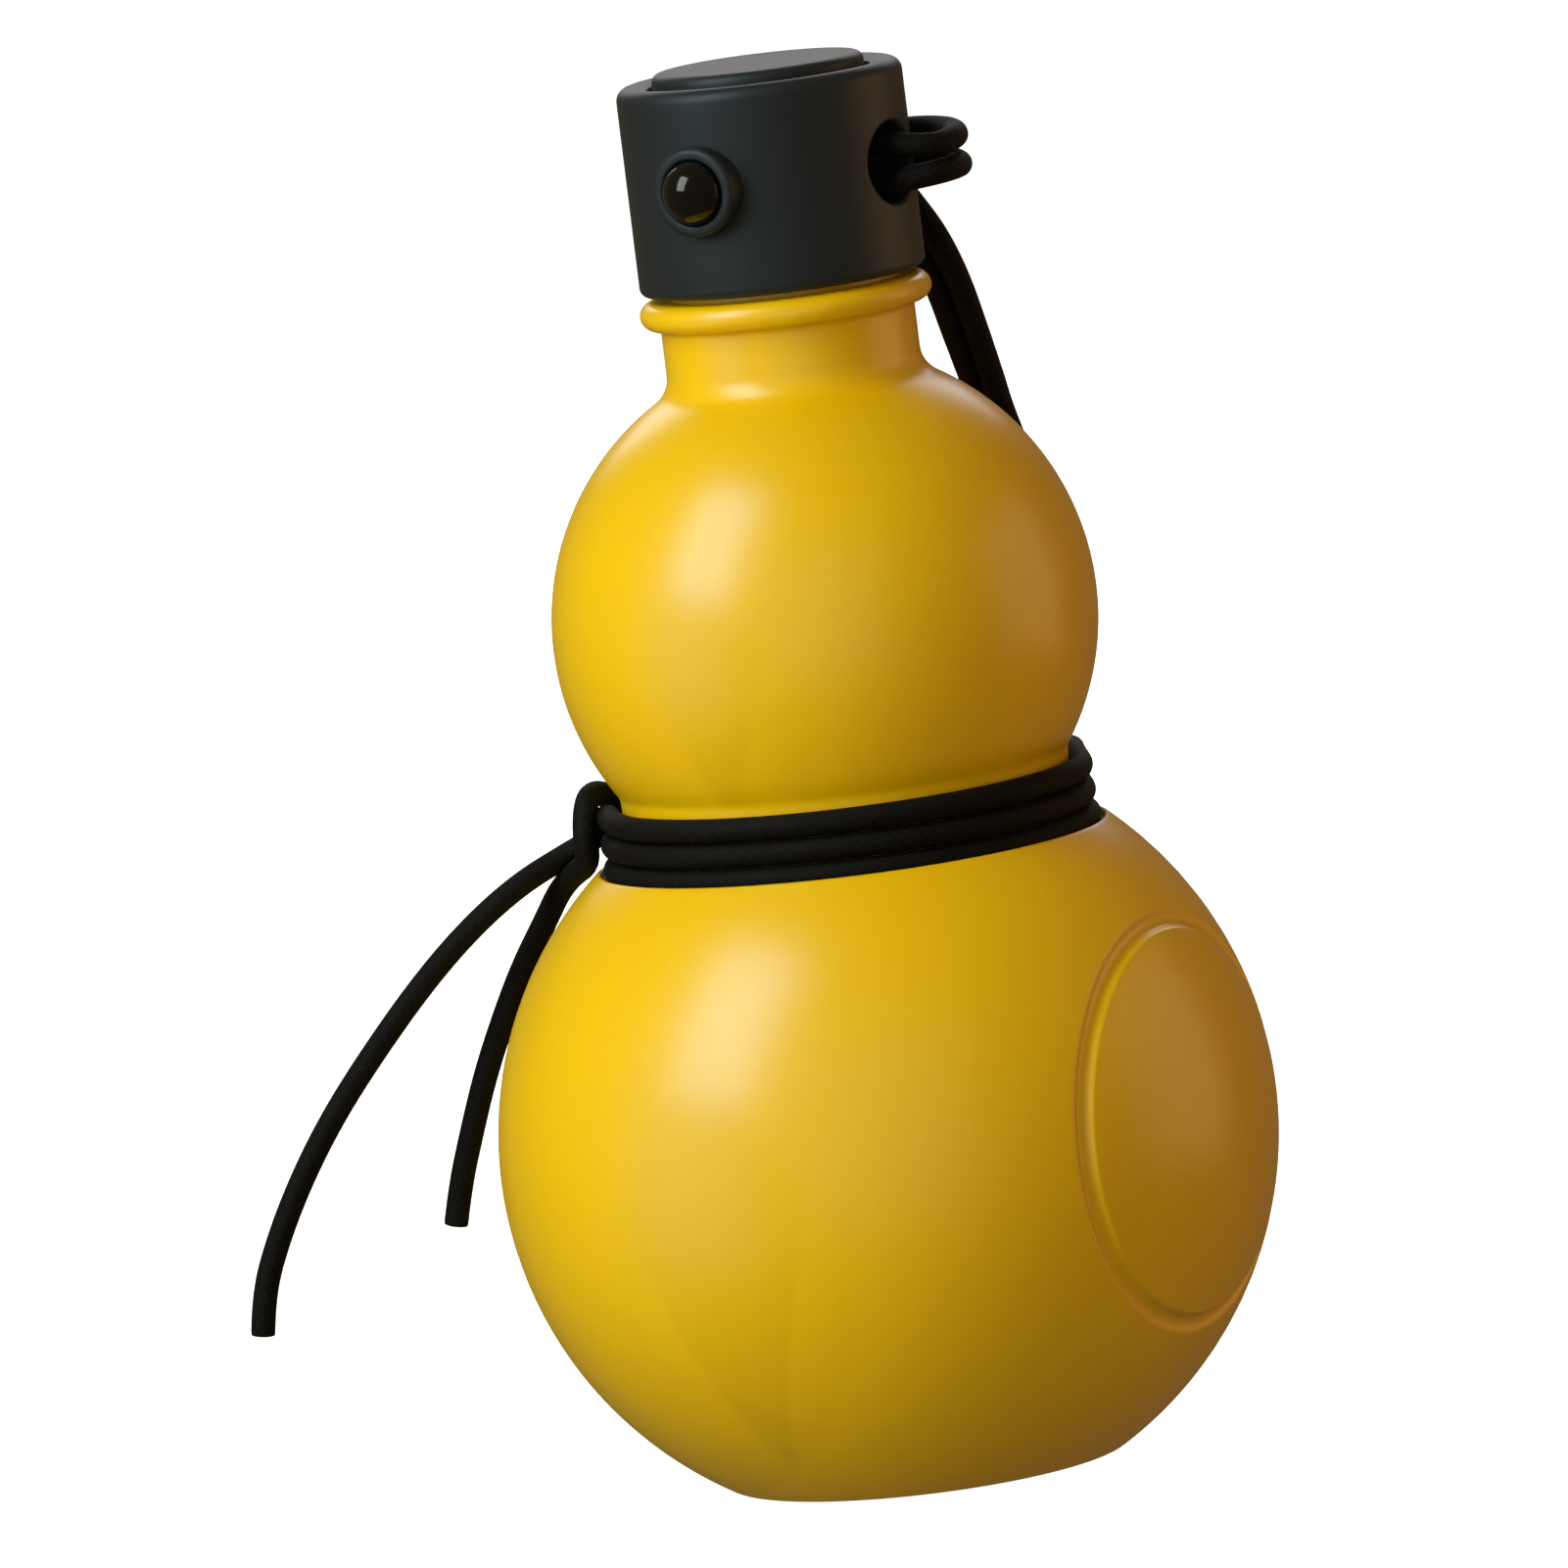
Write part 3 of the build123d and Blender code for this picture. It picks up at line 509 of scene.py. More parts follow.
class GOURD_OT_upper_bulb(bpy.types.Operator):
    """Upper bulb, waist seat, shoulder, neck, rolled bead and finish as one turned sheet"""

    bl_idname = "gourd.upper_bulb"
    bl_label = "Upper bulb"
    # Radii of the hollow under the bead and of the finish's edges, and how far the seat's collar hangs
    # below the groove's floor
    HOLLOW, EDGE, FOOT_DROP = 0.8 * MM, 0.4 * MM, 4.4 * MM

    def execute(self, context):
        size = context.scene.gourd_body
        half_bead = size.bead_thickness / 2
        core = (size.bead_radius - half_bead, size.bead_height)
        out = size.neck_radius + self.HOLLOW
        drop = math.sqrt((half_bead + self.HOLLOW) ** 2 - (out - core[0]) ** 2)
        hollow = (out, size.bead_height - drop)
        bead = outline(
            arc(hollow, self.HOLLOW, 180, angle_of(hollow, core), 6),
            arc(core, half_bead, angle_of(core, hollow), 90, 26),
        )
        inner = size.finish_radius - size.wall
        finish = rounded([
            (size.finish_radius, size.bead_height + half_bead, self.EDGE),
            (size.finish_radius, size.lip_height, self.EDGE), (inner, size.lip_height, self.EDGE),
            (inner, size.bead_height, 0), (size.neck_radius - size.wall, size.bead_height, 0),
        ])
        foot = size.groove_height - size.wall - self.FOOT_DROP
        profile = outline(
            (size.seat_radius, foot), self.side(size, 0), bead, finish, self.side(size, size.wall)[::-1],
            (size.seat_radius - size.wall, foot),
        )
        piece = turned_piece("upper_bulb", profile, 192)
        finish_piece(piece, "bottle", "paint", "upper_shell", "neck_finish")
        return {"FINISHED"}

    @staticmethod
    def side(size, inset):
        """One side of the sheet from the seat up to the neck, inset from the outside: an arc off the
        seat, the bulb and the shoulder's arc, each tangent to the next."""
        centre = (0.0, size.upper_height)
        out = size.seat_radius + size.seat_blend
        waist = (out, centre[1] - math.sqrt((size.upper_radius + size.seat_blend) ** 2 - out**2))
        out = size.neck_radius + size.neck_blend
        shoulder = (out, centre[1] + math.sqrt((size.upper_radius + size.neck_blend) ** 2 - out**2))
        return outline(
            arc(waist, size.seat_blend + inset, 180, angle_of(waist, centre), 10),
            arc(centre, size.upper_radius - inset, angle_of(centre, waist), angle_of(centre, shoulder), 120),
            arc(shoulder, size.neck_blend + inset, angle_of(shoulder, centre) % 360, 180, 16),
        )


class GOURD_OT_lower_bulb(bpy.types.Operator):
    """Lower bulb with its groove, standing ring and the round panel pressed into its side"""

    bl_idname = "gourd.lower_bulb"
    bl_label = "Lower bulb"
    LIP_ROUND = 0.45 * MM
    WELD_GAP = 0.05 * MM
    # Rows of the grid below the panel's rings outside, and above them inside
    BELOW = 13
    ABOVE = 2
    # The angle from the panel's axis at which its rings end, in radians
    PANEL_END = 0.83
    # As shares of the moat's width: how far from its middle it is pressed in, and the rings stay circles
    PRESSED, REACH = 0.68, 1.1

    def execute(self, context):
        size = context.scene.gourd_body
        centre = np.array([0.0, size.lower_height])
        rings = self.panel_rings(size)
        end = rings[-1]
        block = np.concatenate([-rings[:0:-1], rings])
        azimuths = np.concatenate([block, np.linspace(end, 2 * math.pi - end, 90)[1:-1]])

        lip = np.array([size.lip_radius, size.lower_height + math.sqrt(size.lower_radius**2 - size.lip_radius**2)])
        wall_way = unit(np.array([size.groove_radius, size.groove_height]) - lip)
        inward = np.array([-wall_way[1], wall_way[0]])
        lip_centre = line_to_circle(
            centre, size.lower_radius - self.LIP_ROUND, lip + inward * self.LIP_ROUND, -wall_way
        )
        base_centre = np.array([
            math.sqrt((size.lower_radius - size.base_round) ** 2 - (size.lower_height - size.base_round) ** 2),
            size.base_round,
        ])
        top = math.radians(angle_of(centre, lip_centre))
        low = math.radians(angle_of(centre, base_centre))
        outer = np.concatenate([np.linspace(low, -end, self.BELOW + 1)[:-1], block, np.linspace(end, top, 4)[1:]])
        inner = np.concatenate([
            np.linspace(top, end, self.ABOVE + 1)[:-1], block[::-1], np.linspace(-end, low, 8)[1:]
        ])
        lip_arc = arc(lip_centre, self.LIP_ROUND, math.degrees(top), angle_of((0, 0), -inward), 7)[1:]
        hole, floor = size.seat_radius + self.WELD_GAP, size.groove_height
        ring = outline((size.ring_radius, size.wall), (size.ring_radius, 0),
                       arc(base_centre, size.base_round, -90, math.degrees(low), 9))[:-1]
        groove = outline(lip_arc, (size.groove_radius, floor), (hole, floor), (hole, floor - size.wall))
        points = np.vstack([
            carried(ring, azimuths),
            self.pressed(size, size.lower_radius, outer, azimuths, rings, self.BELOW, 1),
            carried(groove, azimuths),
            self.pressed(size, size.lower_radius - size.wall, inner, azimuths, rings, self.ABOVE, -1),
        ])
        finish_piece(grid_piece("lower_bulb", points, True), "bottle", "paint", "lower_shell")
        return {"FINISHED"}

    def moat(self, size):
        """Angle from the panel's axis to the moat's middle, and from there to the last plain circle."""
        middle = math.asin((size.panel_radius + size.moat_width / 2) / size.lower_radius)
        return middle, self.REACH * size.moat_width / size.lower_radius

    def panel_rings(self, size):
        """Angles from the panel's axis at which the grid has a ring: close together at the moat."""
        middle, reach = self.moat(size)
        return np.concatenate([
            np.linspace(0, middle - reach, 12),
            np.linspace(middle - reach, middle + reach, 25)[1:],
            np.linspace(middle + reach, self.PANEL_END, 9)[1:],
        ])

    def pressed(self, size, radius, latitude, azimuth, rings, first_row, way):
        """A sphere with the panel pressed into it: radius times cosine of latitude round the axis and
        its sine upwards, with the grid's square rings laid as circles round the panel's axis.

        A ring's circle is at its own angle from +X. From the moat outwards each point eases from the
        circle back to its place on the plain sphere. The moat's depth falls off smoothly with the
        distance from its middle, as (1 - t^2.6)^2.
        """
        points = carried(circle((0, size.lower_height), radius, latitude), azimuth)
        ring, angle = ring_window(len(rings) - 1)
        rows, columns = slice(first_row, first_row + len(ring)), slice(0, len(ring))
        centre = np.array([0, 0, size.lower_height])
        away = rings[ring]
        on_circle = np.stack([np.cos(away), np.sin(away) * np.cos(angle), np.sin(away) * np.sin(angle)], axis=-1)
        middle, reach = self.moat(size)
        start = middle + reach
        share = eased((away - start) / (rings[-1] - start))[..., None]
        direction = on_circle * (1 - share) + (points[rows, columns][::way] - centre) / radius * share
        direction /= np.linalg.norm(direction, axis=-1, keepdims=True)
        gap = np.clip(np.abs(away - middle) * size.lower_radius / (self.PRESSED * size.moat_width), 0, 1)
        depth = size.moat_depth * (1 - gap**2.6) ** 2
        points[rows, columns] = (centre + direction * (radius - depth)[..., None])[::way]
        return points


class GOURD_OT_base_dish(bpy.types.Operator):
    """Pushed-up plate inside the standing ring, with its turned-up rim"""

    bl_idname = "gourd.base_dish"
    bl_label = "Base dish"
    # Radii of the raised middle, the slope's foot and the rim, and how far the slope's upper side lies out
    RAISED, SLOPE, RIM, OUT = 14.0 * MM, 19.5 * MM, 25.4 * MM, 0.4 * MM
    LOW, HIGH, RISE = 0.4 * MM, 3.9 * MM, 3.0 * MM
    BEND, CORNER, EDGE = 2.0 * MM, 0.9 * MM, 0.2 * MM

    def execute(self, context):
        wall = context.scene.gourd_body.wall
        middle = self.LOW + self.RISE
        profile = rounded([
            (0, middle, 0), (self.RAISED, middle, self.BEND), (self.SLOPE, self.LOW, self.BEND),
            (self.RIM, self.LOW, self.CORNER), (self.RIM, self.HIGH, self.EDGE),
            (self.RIM - wall, self.HIGH, self.EDGE), (self.RIM - wall, self.LOW + wall, self.EDGE),
            (self.SLOPE + self.OUT, self.LOW + wall, self.BEND),
            (self.RAISED + self.OUT, middle + wall, self.BEND), (0, middle + wall, 0),
        ])
        piece = turned_piece("base_dish", profile, 96)
        finish_piece(piece, "bottle", "paint", "base_plate")
        return {"FINISHED"}


class GOURD_OT_threads(bpy.types.Operator):
    """Thread ridges on the neck's finish and inside the cap's insert"""

    bl_idname = "gourd.threads"
    bl_label = "Threads"
    RIDGE, PITCH, INSERT_RADIUS = 0.38 * MM, 3.2 * MM, 17.9 * MM
    # The turn over which a ridge tapers away at its end, in radians
    FADE = 0.5

    def execute(self, context):
        finish_radius = context.scene.gourd_body.finish_radius
        for name, body, finish, radius, height, start, turns in (
            ("neck_thread", "bottle", "paint", finish_radius, self.RIDGE, 180.6 * MM, 1.3),
            ("insert_thread", "cap", "cap", self.INSERT_RADIUS, -self.RIDGE, 182.2 * MM, 1.2),
        ):
            finish_piece(grid_piece(name, self.ridge(radius, height, start, turns)), body, finish)
        return {"FINISHED"}

    def ridge(self, radius, height, start, turns):
        """A ridge along a helix: its section is a low rounded trapezoid that tapers away at both ends."""
        turn = np.linspace(0, turns * 2 * math.pi, round(turns * 96))[:, None]
        fade = np.clip(np.minimum(turn, turn[-1] - turn) / self.FADE, 0, 1)
        out = np.array([-0.25, 0.25, 0.9, 1.0, 1.0, 0.9, 0.25, -0.25]) * height
        up = np.array([-0.55, -0.5, -0.32, -0.2, 0.2, 0.32, 0.5, 0.55]) * MM
        across = radius + out * fade
        level = start + self.PITCH * turn / (2 * math.pi) + up * fade
        return np.stack([across * np.cos(turn), across * np.sin(turn), level], axis=-1)


# The cap

class GOURD_OT_cap_body(bpy.types.Operator):
    """Cap: a cup open downwards, with the cord's pocket at its side and the button's hole in front"""

    bl_idname = "gourd.cap_body"
    bl_label = "Cap body"
    # How far the grid's lines lie from a hole's axis: on its floor, up its tunnel, over its rounded edge
    # and out on the wall. TUNNEL, EDGE and FREE are the lines at which the last three start.
    STEPS = np.concatenate([
        np.linspace(0, 4.9, 7), [5.1, 5.3, 5.5, 5.7], [5.9, 6.05, 6.2, 6.35, 6.5], [7.0, 7.6, 8.3, 9.1, 9.9, 10.8]
    ]) * MM
    HALF = 21
    TUNNEL, EDGE, FREE = 7, 11, 16
    RIM_ROUND, FOOT_ROUND, HOLE_ROUND = 2.0 * MM, 1.3 * MM, 0.5 * MM
    # The recess for the disc and the step under it: radius and depth below the rim, and the first's edge
    RECESS, RECESS_DEPTH, RECESS_ROUND = 16.65 * MM, 1.8 * MM, 0.3 * MM
    STEP, STEP_DEPTH = 15.05 * MM, 3.6 * MM
    # Distances of the pocket's floor and of its back from the cap's axis, and the pocket's wall
    POCKET_FLOOR, POCKET_BACK, POCKET_WALL = 8.0 * MM, 6.7 * MM, 1.3 * MM
    BORE = 5.95 * MM

    def execute(self, context):
        size = context.scene.gourd_cap
        inner = size.radius - size.wall
        block = np.concatenate([-self.STEPS[:0:-1], self.STEPS])
        spread = block / size.radius
        edge = spread[-1]
        front = 1.5 * math.pi
        side = np.linspace(edge, front - edge, 62)[1:-1]
        corner = np.linspace(front + edge, 2 * math.pi - edge, 10)[1:-1]
        azimuths = np.concatenate([spread, side, front + spread, corner])
        heights = size.hole_height + block
        top_arc = arc((size.radius - self.RIM_ROUND, size.rim - self.RIM_ROUND), self.RIM_ROUND, 0, 90, 10)
        seat = rounded([
            (self.RECESS, size.rim, self.RECESS_ROUND), (self.RECESS, size.rim - self.RECESS_DEPTH, 0),
            (self.STEP, size.rim - self.RECESS_DEPTH, 0), (self.STEP, size.rim - self.STEP_DEPTH, 0),
            (inner, size.rim - self.STEP_DEPTH, 0),
        ], 4)
        foot = (size.radius - self.FOOT_ROUND, size.foot + self.FOOT_ROUND)
        parts = [
            arc(foot, self.FOOT_ROUND, -90, 0, 9),
            np.stack([np.full(len(heights), size.radius), heights], axis=1),
            outline(top_arc, seat),
            np.stack([np.full(len(heights), inner), heights[::-1]], axis=1),
            np.array([[inner, size.foot]]),
        ]
        points = carried(np.vstack(parts), azimuths)
        outer_row = len(parts[0])
        inner_row = outer_row + len(heights) + len(parts[2])
        first = len(block) + len(side)
        for row, way, radius, wall, floor in (
            (outer_row, 1, size.radius, 0, self.POCKET_FLOOR),
            (inner_row, -1, inner, self.POCKET_WALL, self.POCKET_BACK),
        ):
            self.lay(points, row, 0, way, radius, size.hole_radius + wall, floor, size.hole_height)
            self.lay(points, row, first, way, radius, self.BORE, self.POCKET_FLOOR, size.hole_height)
        quads = self.without_bore(grid_index(points, True, True), outer_row, inner_row, first)
        piece = mesh_piece("cap_body", points, quads, crease=35)
        finish_piece(piece, "cap", "cap", "cap_shell")
        return {"FINISHED"}

    def lay(self, points, row, column, way, radius, hole, depth, level):
        """Lays a block's rings round a hole's axis: floor, tunnel, rounded edge, then the wall.

        On the wall a ring eases from its circle back to its square, and its depth is the cylinder's.
        """
        turn = np.linspace(0, math.pi / 2, self.FREE - self.EDGE)
        edge = hole + self.HOLE_ROUND * (1 - np.cos(turn))
        sunk = self.HOLE_ROUND * (1 - np.sin(turn))
        free, last, reach = self.STEPS[self.FREE:], self.STEPS[self.FREE - 1], self.STEPS[-1]
        beyond = edge[-1] + (free - last) * (reach - edge[-1]) / (reach - last)
        ring, angle = ring_window(self.HALF)
        rows, columns = slice(row, row + len(ring)), slice(column, column + len(ring))
        plain = points[rows, columns][::way].copy()
        out = unit(plain[self.HALF, self.HALF] * [1, 1, 0])
        side = np.cross([0, 0, 1], out)
        tunnel = np.full(self.EDGE - self.TUNNEL, hole)
        away = np.concatenate([np.linspace(0, hole, self.TUNNEL), tunnel, edge, beyond])[ring]
        share = eased((ring - self.FREE + 1) / (self.HALF - self.FREE + 1))
        flat_across = np.arctan2(plain @ side, plain @ out) * radius
        across = away * np.cos(angle) * (1 - share) + radius * np.sin(flat_across / radius) * share
        up = away * np.sin(angle) * (1 - share) + (plain[..., 2] - level) * share
        on_wall = np.sqrt(np.maximum(radius**2 - across**2, 0))
        drop = np.concatenate([np.zeros(self.EDGE), sunk, np.zeros(len(beyond))])[ring]
        sink = np.clip((ring - self.TUNNEL + 1) / (self.EDGE - self.TUNNEL + 1), 0, 1)
        distance = np.where(ring >= self.EDGE, on_wall - drop * (way > 0), depth + (on_wall - depth) * sink)
        laid = distance[..., None] * out + across[..., None] * side
        laid[..., 2] += level + up
        points[rows, columns] = laid[::way]

    def without_bore(self, index, outer_row, inner_row, first):
        """The grid's quads less both discs over the bore, and the bore's wall between the two rings."""
        middle = first + self.HALF
        cells = np.ones((index.shape[0] - 1, index.shape[1] - 1), bool)
        for row in (outer_row, inner_row):
            centre = row + self.HALF
            cells[centre - self.EDGE:centre + self.EDGE, middle - self.EDGE:middle + self.EDGE] = False
        quads = grid_quads(index)[cells.ravel()]
        outer = ring_loop(index, outer_row + self.HALF, middle, self.EDGE, False)
        inner = ring_loop(index, inner_row + self.HALF, middle, self.EDGE, True)
        wall = np.stack([outer, np.roll(outer, -1), np.roll(inner, -1), inner], axis=1)
        return np.vstack([quads, wall])


class GOURD_OT_cap_disc(bpy.types.Operator):
    """Raised disc in the cap's top, with its rounded shoulder"""

    bl_idname = "gourd.cap_disc"
    bl_label = "Cap disc"
    RADIUS = 15.9 * MM
    BELOW, ABOVE = 1.7 * MM, 1.5 * MM
    SHOULDER, EDGE = 1.4 * MM, 0.3 * MM

    def execute(self, context):
        rim = context.scene.gourd_cap.rim
        low, top = rim - self.BELOW, rim + self.ABOVE
        profile = rounded([
            (0, low, 0), (self.RADIUS, low, self.EDGE), (self.RADIUS, top, self.SHOULDER), (0, top, 0)
        ])
        finish_piece(turned_piece("cap_disc", profile, 128), "cap", "cap", "cap_cover")
        return {"FINISHED"}


class GOURD_OT_push_button(bpy.types.Operator):
    """Push button: its collar, the polished dome on its stem, and the spring round the stem"""

    bl_idname = "gourd.push_button"
    bl_label = "Push button"
    # Distances from the cap's axis: the web's back and front, the collar's step and the stem's tip
    WEB_BACK, WEB_FRONT, STEP, TIP = 17.0 * MM, 18.4 * MM, 20.0 * MM, 14.54 * MM
    # Radii of the collar inside the wall and of the stem, and the gap that the button and stem run with
    NECK, STEM, RUN_GAP = 5.9 * MM, 1.5 * MM, 0.08 * MM
    # Roundings of the collar's face, outside and at its bore
    FACE_ROUND, BORE_ROUND = 0.95 * MM, 0.45 * MM
    # How far the dome's shoulder lies below the collar's face, the head's thickness, and two edges
    SUNK, THICK, TIP_EDGE, EDGE = 0.4 * MM, 1.6 * MM, 0.3 * MM, 0.2 * MM
    # The spring: its coil's radius, its wire, and its distance from the web and from the head
    COIL, WIRE, COIL_GAP = 2.9 * MM, 0.5 * MM, 0.4 * MM
    COIL_TURNS, COIL_PLACES = 3, 97

    def execute(self, context):
        size = context.scene.gourd_cap
        face = size.radius + size.collar_stand
        bore = size.button_radius + self.RUN_GAP
        hole = self.STEM + self.RUN_GAP
        # A turned piece's own axis is +Z, laid along -Y at the button's height
        place = Matrix.Translation((0, 0, size.hole_height)) @ Matrix.Rotation(math.radians(90), 4, "X")
        ring = rounded([
            (size.collar_radius, self.STEP, 0), (size.collar_radius, face, self.FACE_ROUND),
            (bore, face, self.BORE_ROUND), (bore, self.WEB_FRONT, 0),
            (hole, self.WEB_FRONT, 0), (hole, self.WEB_BACK, 0),
            (self.NECK, self.WEB_BACK, self.EDGE), (self.NECK, self.STEP, 0),
        ], 9)
        finish_piece(turned_piece("button_ring", ring, 96, place), "cap", "cap", "button_collar")

        shoulder = face - self.SUNK
        back = shoulder - self.THICK
        radius = (size.button_radius**2 + size.button_crown**2) / (2 * size.button_crown)
        centre = (0, shoulder + size.button_crown - radius)
        dome = arc(centre, radius, angle_of(centre, (size.button_radius, shoulder)), 90, 28)
        profile = outline(
            (0, self.TIP), (self.STEM - self.TIP_EDGE, self.TIP), (self.STEM, self.TIP + self.TIP_EDGE),
            (self.STEM, back), (size.button_radius - self.EDGE, back), (size.button_radius, back + self.EDGE), dome,
        )
        profile[0, 0] = profile[-1, 0] = 0
        finish_piece(turned_piece("button_dome", profile, 96, place), "button", "button", "button")

        turn = np.linspace(0, self.COIL_TURNS * 2 * math.pi, self.COIL_PLACES)
        low, high = self.WEB_FRONT + self.COIL_GAP, back - self.COIL_GAP
        line = np.stack([self.COIL * np.cos(turn), -np.linspace(low, high, self.COIL_PLACES),
                         size.hole_height + self.COIL * np.sin(turn)], axis=1)
        coil = tube_piece("button_coil", line, self.WIRE, 10)
        finish_piece(coil, "cap", "steel", "button_spring")
        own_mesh(coil)
        return {"FINISHED"}


# The cord: the free stretches' routes are given by radius, azimuth in degrees and height

LOOP_LOW = [(27.0, 3.3, 193.7), (28.6, 17.1, 193.8), (28.4, 31.1, 193.6)]
LOOP_HIGH = [(26.9, 3.1, 197.6), (28.6, 16.9, 198.1), (28.3, 31.0, 198.2)]
STRAP_OUTER = [
    (28.2, 45.0, 193.7), (27.2, 57.4, 194.1), (26.1, 69.4, 193.7), (26.4, 75.1, 190.2), (28.2, 71.5, 186.2),
    (30.2, 68.1, 181.5), (32.7, 66.8, 174.6), (34.6, 66.3, 166.6), (36.2, 66.1, 160.1), (37.9, 66.5, 153.0),
    (41.2, 66.4, 143.8), (43.4, 66.5, 130.8), (42.4, 66.5, 118.6), (39.1, 66.4, 109.9),
    (35.59, 66.5, 105.4), (35.59, 66.5, 102.24),
]
STRAP_INNER = [
    (28.1, 45.0, 198.3), (27.4, 59.3, 198.3), (26.5, 74.6, 198.0), (26.6, 83.8, 192.4), (27.7, 81.2, 185.6),
    (29.6, 76.4, 180.2), (31.5, 73.4, 173.5), (33.5, 72.5, 165.4), (36.9, 72.3, 154.8), (40.8, 72.1, 143.6),
    (43.4, 72.0, 130.6), (42.4, 72.0, 118.6), (40.0, 72.0, 111.6), (37.9, 74.2, 107.9),
]
KNOT_ROOT = [(38.7, 198.3, 99.0), (44.1, 197.2, 96.6)]
KNOT_WRAP = [
    (37.5, 194.1, 105.5), (38.8, 204.0, 106.0), (39.7, 207.9, 100.8), (39.4, 207.6, 96.1),
    (42.8, 199.5, 93.9), (46.2, 194.5, 91.1),
]
TAIL_LONG = [
    (50.7, 202.5, 93.6), (58.4, 203.6, 88.2), (66.4, 204.1, 80.9), (74.6, 204.3, 71.9), (82.2, 204.2, 62.7),
    (88.2, 204.3, 53.8), (93.1, 204.2, 44.8), (96.6, 204.1, 36.3), (97.4, 204.1, 30.1),
]
TAIL_SHORT = [
    (48.9, 193.7, 87.0), (53.1, 194.9, 80.4), (56.8, 195.6, 73.2), (60.7, 196.0, 64.8), (64.1, 196.0, 55.8),
    (66.9, 196.0, 47.8), (68.2, 196.1, 42.2),
]
# The pin's distance from the axis and its height, and how far the bight lies from its middle
PIN_PLACE, PIN_HEIGHT, BIGHT_RISE = 13.5, 195.9, 3.34
STRAP_AZIMUTH, KNOT_AZIMUTH = 66.5, 213.0
# Where a strand's upper piece meets its lower one, and the two heights between which it stretches
SPLIT_HEIGHT = 140.0
# The winding's control points lie so many degrees apart, and it climbs between these two angles of a turn
ROUND_STEP = 15.0
# No plain control point lies within so many degrees of a crossing, or of the winding's end
CROSSING_REACH, END_REACH = 30.0, 5.0
CLIMB_START, CLIMB_END = 231.0, 328.0
# The return's radius at its start, and the azimuths of its start and end
RETURN_RADIUS = 36.6
RETURN_START, RETURN_END = 88.5, 182.5
# Degrees between the two places of a turn that give its way there
WAY_STEP = 0.5
# Straight runs where the cord leaves the turns: before the strap and the wrap, and before the root
LEAVE_RUN = 4.8 * MM
ROOT_RUN = 9.6 * MM
CORD_SIDES = 24
CORD_STEP = 0.7 * MM
# The step of a strand's line before it is cut in two
CUT_STEP = 0.35 * MM


def polar(places):
    """Points in metres from radius, azimuth in degrees and height, in millimetres."""
    radius, azimuth, height = np.array(places, float).T
    angle = np.radians(azimuth)
    return np.stack([radius * np.cos(angle), radius * np.sin(angle), height], axis=1) * MM


def nurbs_line(name, controls):
    """Points of an open NURBS spline of order 3 that has the route's points as its control points."""
    curve = bpy.data.curves.new(name, "CURVE")
    curve.dimensions = "3D"
    curve.resolution_u = 16
    spline = curve.splines.new("NURBS")
    spline.points.add(len(controls) - 1)
    spline.points.foreach_set("co", np.column_stack([controls, np.ones(len(controls))]).ravel())
    spline.order_u = 3
    spline.use_endpoint_u = True
    holder = bpy.data.objects.new(name, curve)
    bpy.context.scene.collection.objects.link(holder)
    mesh = bpy.data.meshes.new_from_object(holder)
    line = np.array([v.co for v in mesh.vertices], float)
    bpy.data.objects.remove(holder)
    bpy.data.curves.remove(curve)
    bpy.data.meshes.remove(mesh)
    return line


def even(line, step):
    """The same line with its points evenly apart, about a step, and each point's distance along it: the
    coordinates are read by arc length."""
    run = np.concatenate([[0], np.cumsum(np.linalg.norm(np.diff(line, axis=0), axis=1))])
    places = np.linspace(0, run[-1], max(2, round(run[-1] / step) + 1))
    return np.stack([np.interp(places, run, line[:, k]) for k in range(3)], axis=1), places


def carried_frames(line):
    """Tangents, and a normal carried along the line with no twist: each is the last one, made square
    to the next tangent."""
    tangent = np.gradient(line, axis=0)
    tangent /= np.linalg.norm(tangent, axis=1, keepdims=True)
    normal = np.cross(tangent[0], [0.3, 0.2, 1.0])
    normals = []
    for way in tangent:
        normal = unit(normal - way * (normal @ way))
        normals.append(normal)
    return tangent, np.array(normals)


def tube_piece(name, line, diameter, sides, step=None):
    """A round tube along a line: the line plus the radius times cosine and sine in the carried frame.

    Its ends are closed by two smaller rings and a pole. Its UV map holds millimetres along and round.
    """
    line, run = even(line, step) if step else (line, np.linspace(0, 1, len(line)))
    tangent, normal = carried_frames(line)
    binormal = np.cross(tangent, normal)
    angle = np.linspace(0, 2 * math.pi, sides, endpoint=False)
    radius = diameter / 2
    # Rings from pole to pole: share of the radius, and how far each stands in from the end
    shares = np.concatenate([[0, 0.8, 0.96], np.ones(len(line) - 2), [0.96, 0.8, 0]])
    place = np.concatenate([[0, 0, 0], np.arange(1, len(line) - 1), [len(line) - 1] * 3]).astype(int)
    inset = np.zeros(len(place))
    inset[2], inset[-3] = 0.06 * radius, -0.06 * radius
    centre = line[place] + tangent[place] * inset[:, None]
    around = np.cos(angle)[:, None] * normal[place][:, None] + np.sin(angle)[:, None] * binormal[place][:, None]
    points = centre[:, None] + around * (radius * shares)[:, None, None]
    grid = np.stack(np.meshgrid(run[place] / MM, np.arange(sides + 1) / sides * (math.pi * diameter / MM),
                                indexing="ij"), axis=-1)
    uv = np.stack([grid[:-1, :-1], grid[:-1, 1:], grid[1:, 1:], grid[1:, :-1]], axis=2).reshape(-1, 4, 2)
    return grid_piece(name, points, uv=uv, crease=60)


